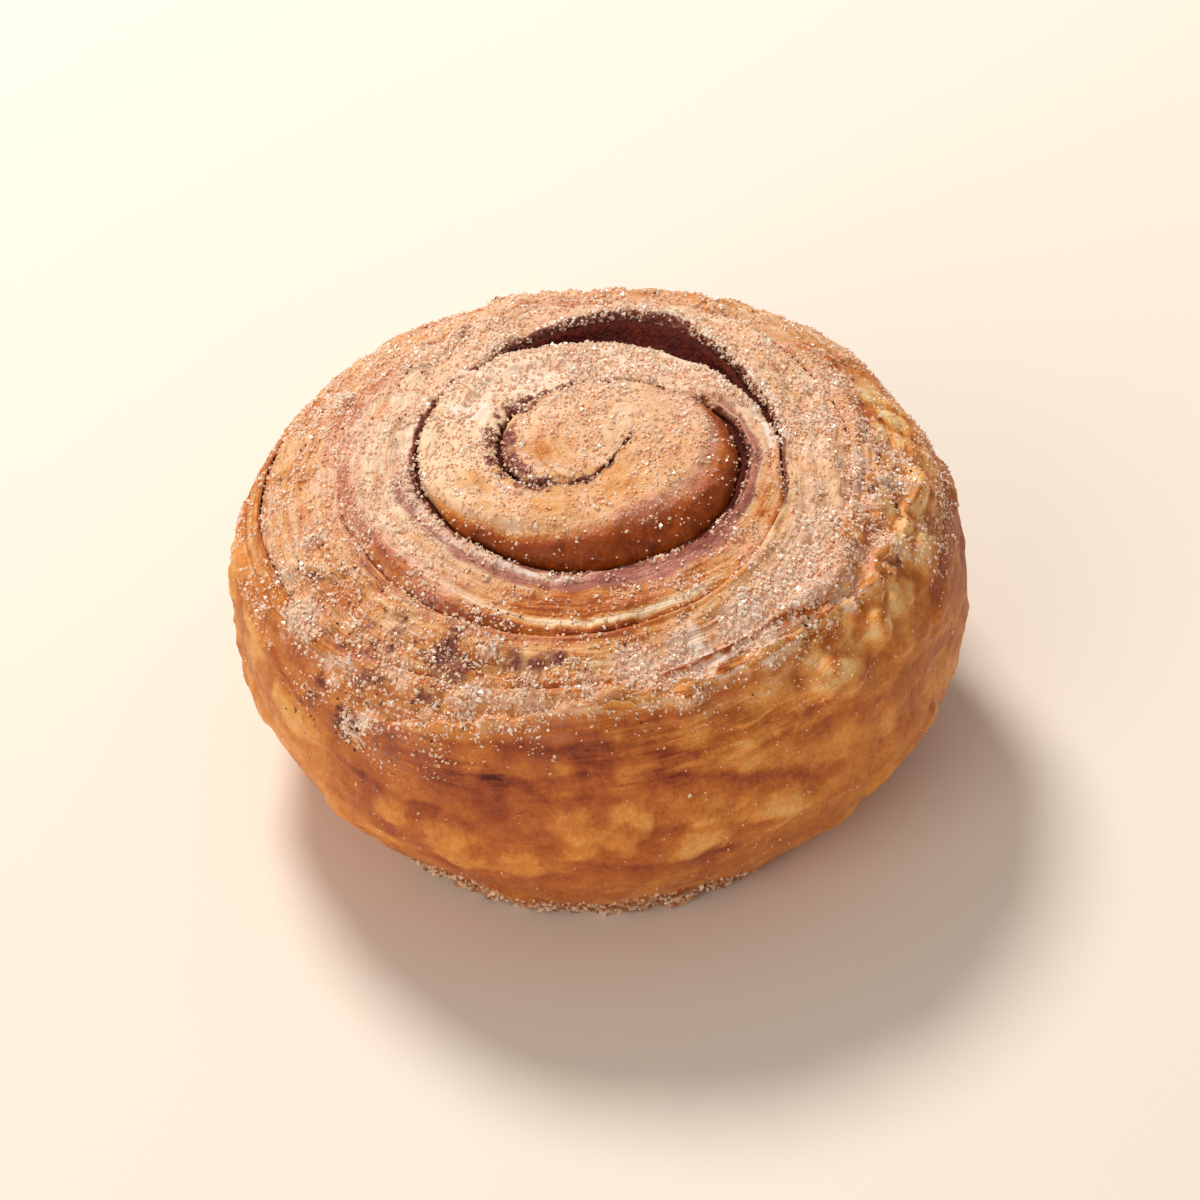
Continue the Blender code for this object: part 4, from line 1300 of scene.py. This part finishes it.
class Nodes:
    """Short ways to add the nodes of one material."""

    def __init__(self, name):
        self.material = bpy.data.materials.new(name)
        self.material.use_nodes = True
        self.tree = self.material.node_tree
        self.shader = self.tree.nodes["Principled BSDF"]

    def add(self, kind, inputs, **settings):
        node = self.tree.nodes.new(kind)
        for key, value in settings.items():
            setattr(node, key, value)
        for key, value in inputs.items():
            self.put(node.inputs[key], value)
        return node

    def put(self, socket, value):
        if isinstance(value, bpy.types.NodeSocket):
            self.tree.links.new(value, socket)
        else:
            socket.default_value = value

    def attribute(self, name, output="Fac"):
        return self.add("ShaderNodeAttribute", {}, attribute_name=name).outputs[output]

    def place(self):
        return self.add("ShaderNodeTexCoord", {}).outputs["Object"]

    def math(self, operation, *values):
        inputs = dict(enumerate(values))
        return self.add("ShaderNodeMath", inputs, operation=operation).outputs[0]

    def times(self, first, second):
        return self.math("MULTIPLY", first, second)

    def plus(self, base, value, factor):
        """A base with a value, times a factor, added to it."""
        return self.math("MULTIPLY_ADD", value, factor, base)

    def swing(self, value):
        """A noise moved to lie on both sides of 0."""
        return self.math("SUBTRACT", value, 0.5)

    def stretch(self, vector, scale):
        return self.add("ShaderNodeVectorMath", {0: vector, 1: scale},
                        operation="MULTIPLY").outputs[0]

    def noise(self, vector, scale, detail, rough):
        inputs = {"Vector": vector, "Scale": scale, "Detail": detail, "Roughness": rough}
        return self.add("ShaderNodeTexNoise", inputs).outputs["Fac"]

    def span(self, value, low, high, to_low=0.0, to_high=1.0):
        node = self.add("ShaderNodeMapRange", {"Value": value, "From Min": low, "From Max": high,
                                               "To Min": to_low, "To Max": to_high})
        return node.outputs["Result"]

    def ramp(self, value, stops):
        node = self.add("ShaderNodeValToRGB", {"Fac": value})
        elements = node.color_ramp.elements
        while len(elements) < len(stops):
            elements.new(0.5)
        for element, (position, colour) in zip(elements, stops):
            element.position = position
            element.color = linear(colour)
        return node.outputs["Color"]

    def blend(self, share, first, second):
        node = self.add("ShaderNodeMix", {0: share}, data_type="RGBA")
        self.put(node.inputs[6], first)
        self.put(node.inputs[7], second)
        return node.outputs[2]

    def bump(self, height, strength, distance, before=None):
        inputs = {"Height": height, "Strength": strength, "Distance": distance}
        if before is not None:
            inputs["Normal"] = before
        return self.add("ShaderNodeBump", inputs).outputs["Normal"]

    def finish(self, colour, roughness, normal, **plain):
        self.put(self.shader.inputs["Base Color"], colour)
        self.put(self.shader.inputs["Roughness"], roughness)
        self.put(self.shader.inputs["Normal"], normal)
        for key, value in plain.items():
            self.shader.inputs[key.replace("_", " ")].default_value = value
        return self.material


BAKE_STOPS = ((0.0, (254, 230, 198)), (0.2, (244, 202, 158)), (0.38, (228, 164, 100)),
              (0.55, (206, 120, 46)), (0.72, (172, 80, 22)), (0.87, (138, 58, 18)),
              (1.0, (92, 36, 14)))
SIDE_STOPS = ((0.0, (255, 220, 162)), (0.2, (253, 194, 118)), (0.38, (234, 152, 72)),
              (0.56, (200, 113, 50)), (0.74, (168, 81, 41)), (0.9, (124, 50, 26)),
              (1.0, (88, 34, 18)))
ROSE_STOPS = ((0.3, (158, 78, 72)), (0.48, (208, 126, 108)), (0.68, (244, 188, 166)))
MAUVE_STOPS = ((0.3, (138, 72, 67)), (0.5, (178, 110, 99)), (0.7, (208, 147, 130)))
CINNAMON_STOPS = ((0.25, (70, 28, 26)), (0.5, (132, 70, 60)), (0.75, (206, 144, 120)))
FROST_STOPS = ((0.2, (236, 180, 150)), (0.5, (252, 218, 196)), (0.8, (255, 244, 234)))
FILLING_STOPS = ((0.35, (40, 6, 3)), (0.55, (84, 22, 12)), (0.75, (124, 50, 30)))
FLOOR_STOPS = ((0.3, (243, 233, 220)), (0.7, (246, 237, 225)))


def dough_material():
    """Baked dough: browning and layer lines, then syrup, cinnamon and melted sugar on them."""
    nodes = Nodes("baked_dough")
    here = nodes.place()
    strip = nodes.attribute("strip", "Vector")
    side, layers, sugar, cinnamon, browning_and_shade = (
        nodes.attribute(key) for key in ("side", "layers", "sugar", "cinnamon", "browning_and_shade"))
    broad = nodes.noise(here, 110.0, 3.0, 0.55)
    medium = nodes.noise(here, 380.0, 4.0, 0.6)
    fine = nodes.noise(here, 1500.0, 3.0, 0.65)
    lines = nodes.noise(nodes.stretch(strip, (0.06, 1.0, 1.0)), 0.85, 3.0, 0.6)
    streaks = nodes.noise(nodes.stretch(strip, (0.12, 1.0, 1.0)), 2.6, 2.0, 0.6)
    browning_and_shade = nodes.plus(browning_and_shade, nodes.swing(broad), nodes.plus(0.5, side, -0.18))
    browning_and_shade = nodes.plus(browning_and_shade, nodes.swing(medium), nodes.plus(0.55, side, -0.2))
    for pattern, where, amount in ((fine, side, 0.3), (lines, layers, 0.95),
                                   (streaks, layers, 0.35)):
        browning_and_shade = nodes.plus(browning_and_shade, nodes.times(nodes.swing(pattern), where), amount)
    colour = nodes.blend(side, nodes.ramp(browning_and_shade, BAKE_STOPS), nodes.ramp(browning_and_shade, SIDE_STOPS))
    rose = nodes.times(nodes.attribute("rose"), nodes.span(streaks, 0.3, 0.6))
    colour = nodes.blend(rose, colour, nodes.ramp(medium, ROSE_STOPS))
    mauve = nodes.times(nodes.attribute("mauve"), 0.92)
    colour = nodes.blend(mauve, colour, nodes.ramp(broad, MAUVE_STOPS))
    specks = nodes.plus(nodes.times(medium, 0.6), fine, 0.5)
    stain = nodes.span(nodes.plus(specks, cinnamon, 1.1), 0.95, 1.25)
    colour = nodes.blend(stain, colour, nodes.ramp(fine, CINNAMON_STOPS))
    frost = nodes.plus(nodes.plus(fine, sugar, 0.9), cinnamon, -0.7)
    frost = nodes.span(nodes.plus(frost, side, -0.1), 0.68, 1.16, 0.0, 0.88)
    white = nodes.plus(nodes.math("SUBTRACT", medium, 0.17), sugar, 0.42)
    colour = nodes.blend(frost, colour, nodes.ramp(white, FROST_STOPS))
    rough = nodes.span(nodes.attribute("shoulder"), 0.0, 1.0, 0.58, 0.34)
    rough = nodes.plus(nodes.plus(rough, frost, 0.2), side, -0.12)
    height = nodes.plus(medium, nodes.times(lines, layers), 1.2)
    normal = nodes.bump(fine, 0.6, 0.0003, nodes.bump(height, 0.8, 0.0009))
    return nodes.finish(colour, rough, normal, Subsurface_Weight=0.12, Subsurface_Scale=0.0016,
                        Subsurface_Radius=(1.0, 0.6, 0.35), Specular_IOR_Level=0.22)


def filling_material():
    """Dark, moist cinnamon paste."""
    nodes = Nodes("cinnamon_filling")
    here = nodes.place()
    medium = nodes.noise(here, 500.0, 4.0, 0.6)
    fine = nodes.noise(here, 1900.0, 3.0, 0.6)
    colour = nodes.ramp(nodes.plus(nodes.times(medium, 0.5), fine, 0.6), FILLING_STOPS)
    return nodes.finish(colour, nodes.span(medium, 0.3, 0.7, 0.5, 0.8),
                        nodes.bump(fine, 0.9, 0.0005), Specular_IOR_Level=0.12)


def grain_material(name, stops, roughness, subsurface):
    """Crystals that each have a shade of their own."""
    nodes = Nodes(name)
    cloud = nodes.noise(nodes.place(), 2600.0, 2.0, 0.5)
    colour = nodes.ramp(nodes.plus(nodes.attribute("shade"), nodes.swing(cloud), 0.4), stops)
    return nodes.finish(colour, nodes.span(cloud, 0.3, 0.7, roughness - 0.08, roughness + 0.1),
                        nodes.bump(cloud, 0.3, 0.00008), Subsurface_Weight=subsurface,
                        Subsurface_Scale=0.0004, Subsurface_Radius=(1.0, 0.85, 0.7))


def floor_material():
    nodes = Nodes("floor")
    here = nodes.place()
    colour = nodes.ramp(nodes.noise(here, 3.0, 2.0, 0.5), FLOOR_STOPS)
    normal = nodes.bump(nodes.noise(here, 900.0, 2.0, 0.5), 0.04, 0.0002)
    return nodes.finish(colour, 0.75, normal)


def dress(piece, material, replaced=None):
    piece.data.materials.append(material)
    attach(piece, "root")
    if replaced:
        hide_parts(replaced)


FLOOR_HALF = 2.5
SKY_COLOUR = (1.0, 0.95, 0.89, 1.0)
SKY_STRENGTH = 0.36
LIGHT_TARGET = (0.0, 0.0, 0.02)
# Round, soft lights: name, place and width in metres, power in watts, colour
LIGHTS = (("key", (-0.24, 0.68, 0.95), 0.36, 11.2, (1.0, 0.96, 0.90)),
          ("fill", (-0.60, -0.78, 0.6), 0.8, 3.7, (1.0, 0.92, 0.83)))


def make_floor():
    mesh = bpy.data.meshes.new("floor")
    corners = [(x * FLOOR_HALF, y * FLOOR_HALF, 0) for x, y in ((-1, -1), (1, -1), (1, 1), (-1, 1))]
    mesh.from_pydata(corners, [], [(0, 1, 2, 3)])
    mesh.materials.append(floor_material())
    add_object("floor", mesh)


def aimed(spot, target):
    """Rotation of a light or camera that looks from one point to another."""
    return (Vector(target) - Vector(spot)).to_track_quat("-Z", "Y")


def make_light(name, spot, size, power, colour):
    lamp = bpy.data.lights.new(name, "AREA")
    lamp.shape = "DISK"
    lamp.size = size
    lamp.energy = power
    lamp.color = colour
    thing = add_object(name, lamp)
    thing.location = spot
    thing.rotation_euler = aimed(spot, LIGHT_TARGET).to_euler()


CAMERA_BACK = 572.5
CAMERA_UP = 495.6
CAMERA_ROLL = 5.4
CAMERA_LENS = 150.0
SENSOR_WIDTH = 36.0
AIM = (0.0, -1.0, 24.5)


def make_camera():
    lens = bpy.data.cameras.new("camera")
    lens.lens = CAMERA_LENS
    lens.sensor_width = SENSOR_WIDTH
    spot = Vector((AXIS_PLACE[0], AXIS_PLACE[1] - CAMERA_BACK, CAMERA_UP)) * MM
    turn = aimed(spot, Vector(AIM) * MM).to_matrix().to_4x4()
    roll = Matrix.Rotation(np.radians(-CAMERA_ROLL), 4, "Z")
    camera = add_object("camera", lens)
    camera.matrix_world = Matrix.Translation(spot) @ turn @ roll
    bpy.context.scene.camera = camera


def make_studio():
    scene = bpy.context.scene
    scene.view_settings.view_transform = "Standard"
    world = bpy.data.worlds.new("studio")
    world.use_nodes = True
    back = world.node_tree.nodes["Background"]
    back.inputs["Color"].default_value = SKY_COLOUR
    back.inputs["Strength"].default_value = SKY_STRENGTH
    scene.world = world
    for light in LIGHTS:
        make_light(*light)


def make_bun():
    """Every piece of the bun, each with its material and body."""
    dough = make_dough()
    filling = make_filling()
    flakes = make_flakes()
    golden = dough_material()
    dress(dough, golden, "dough")
    dress(flakes, golden)
    dress(filling, filling_material(), "cinnamon_filling")
    for name, slot, scatter, looks in GRAINS:
        dress(make_grains(name, dough, **scatter), grain_material(name, **looks))


make_bun()
make_floor()
make_studio()
make_camera()
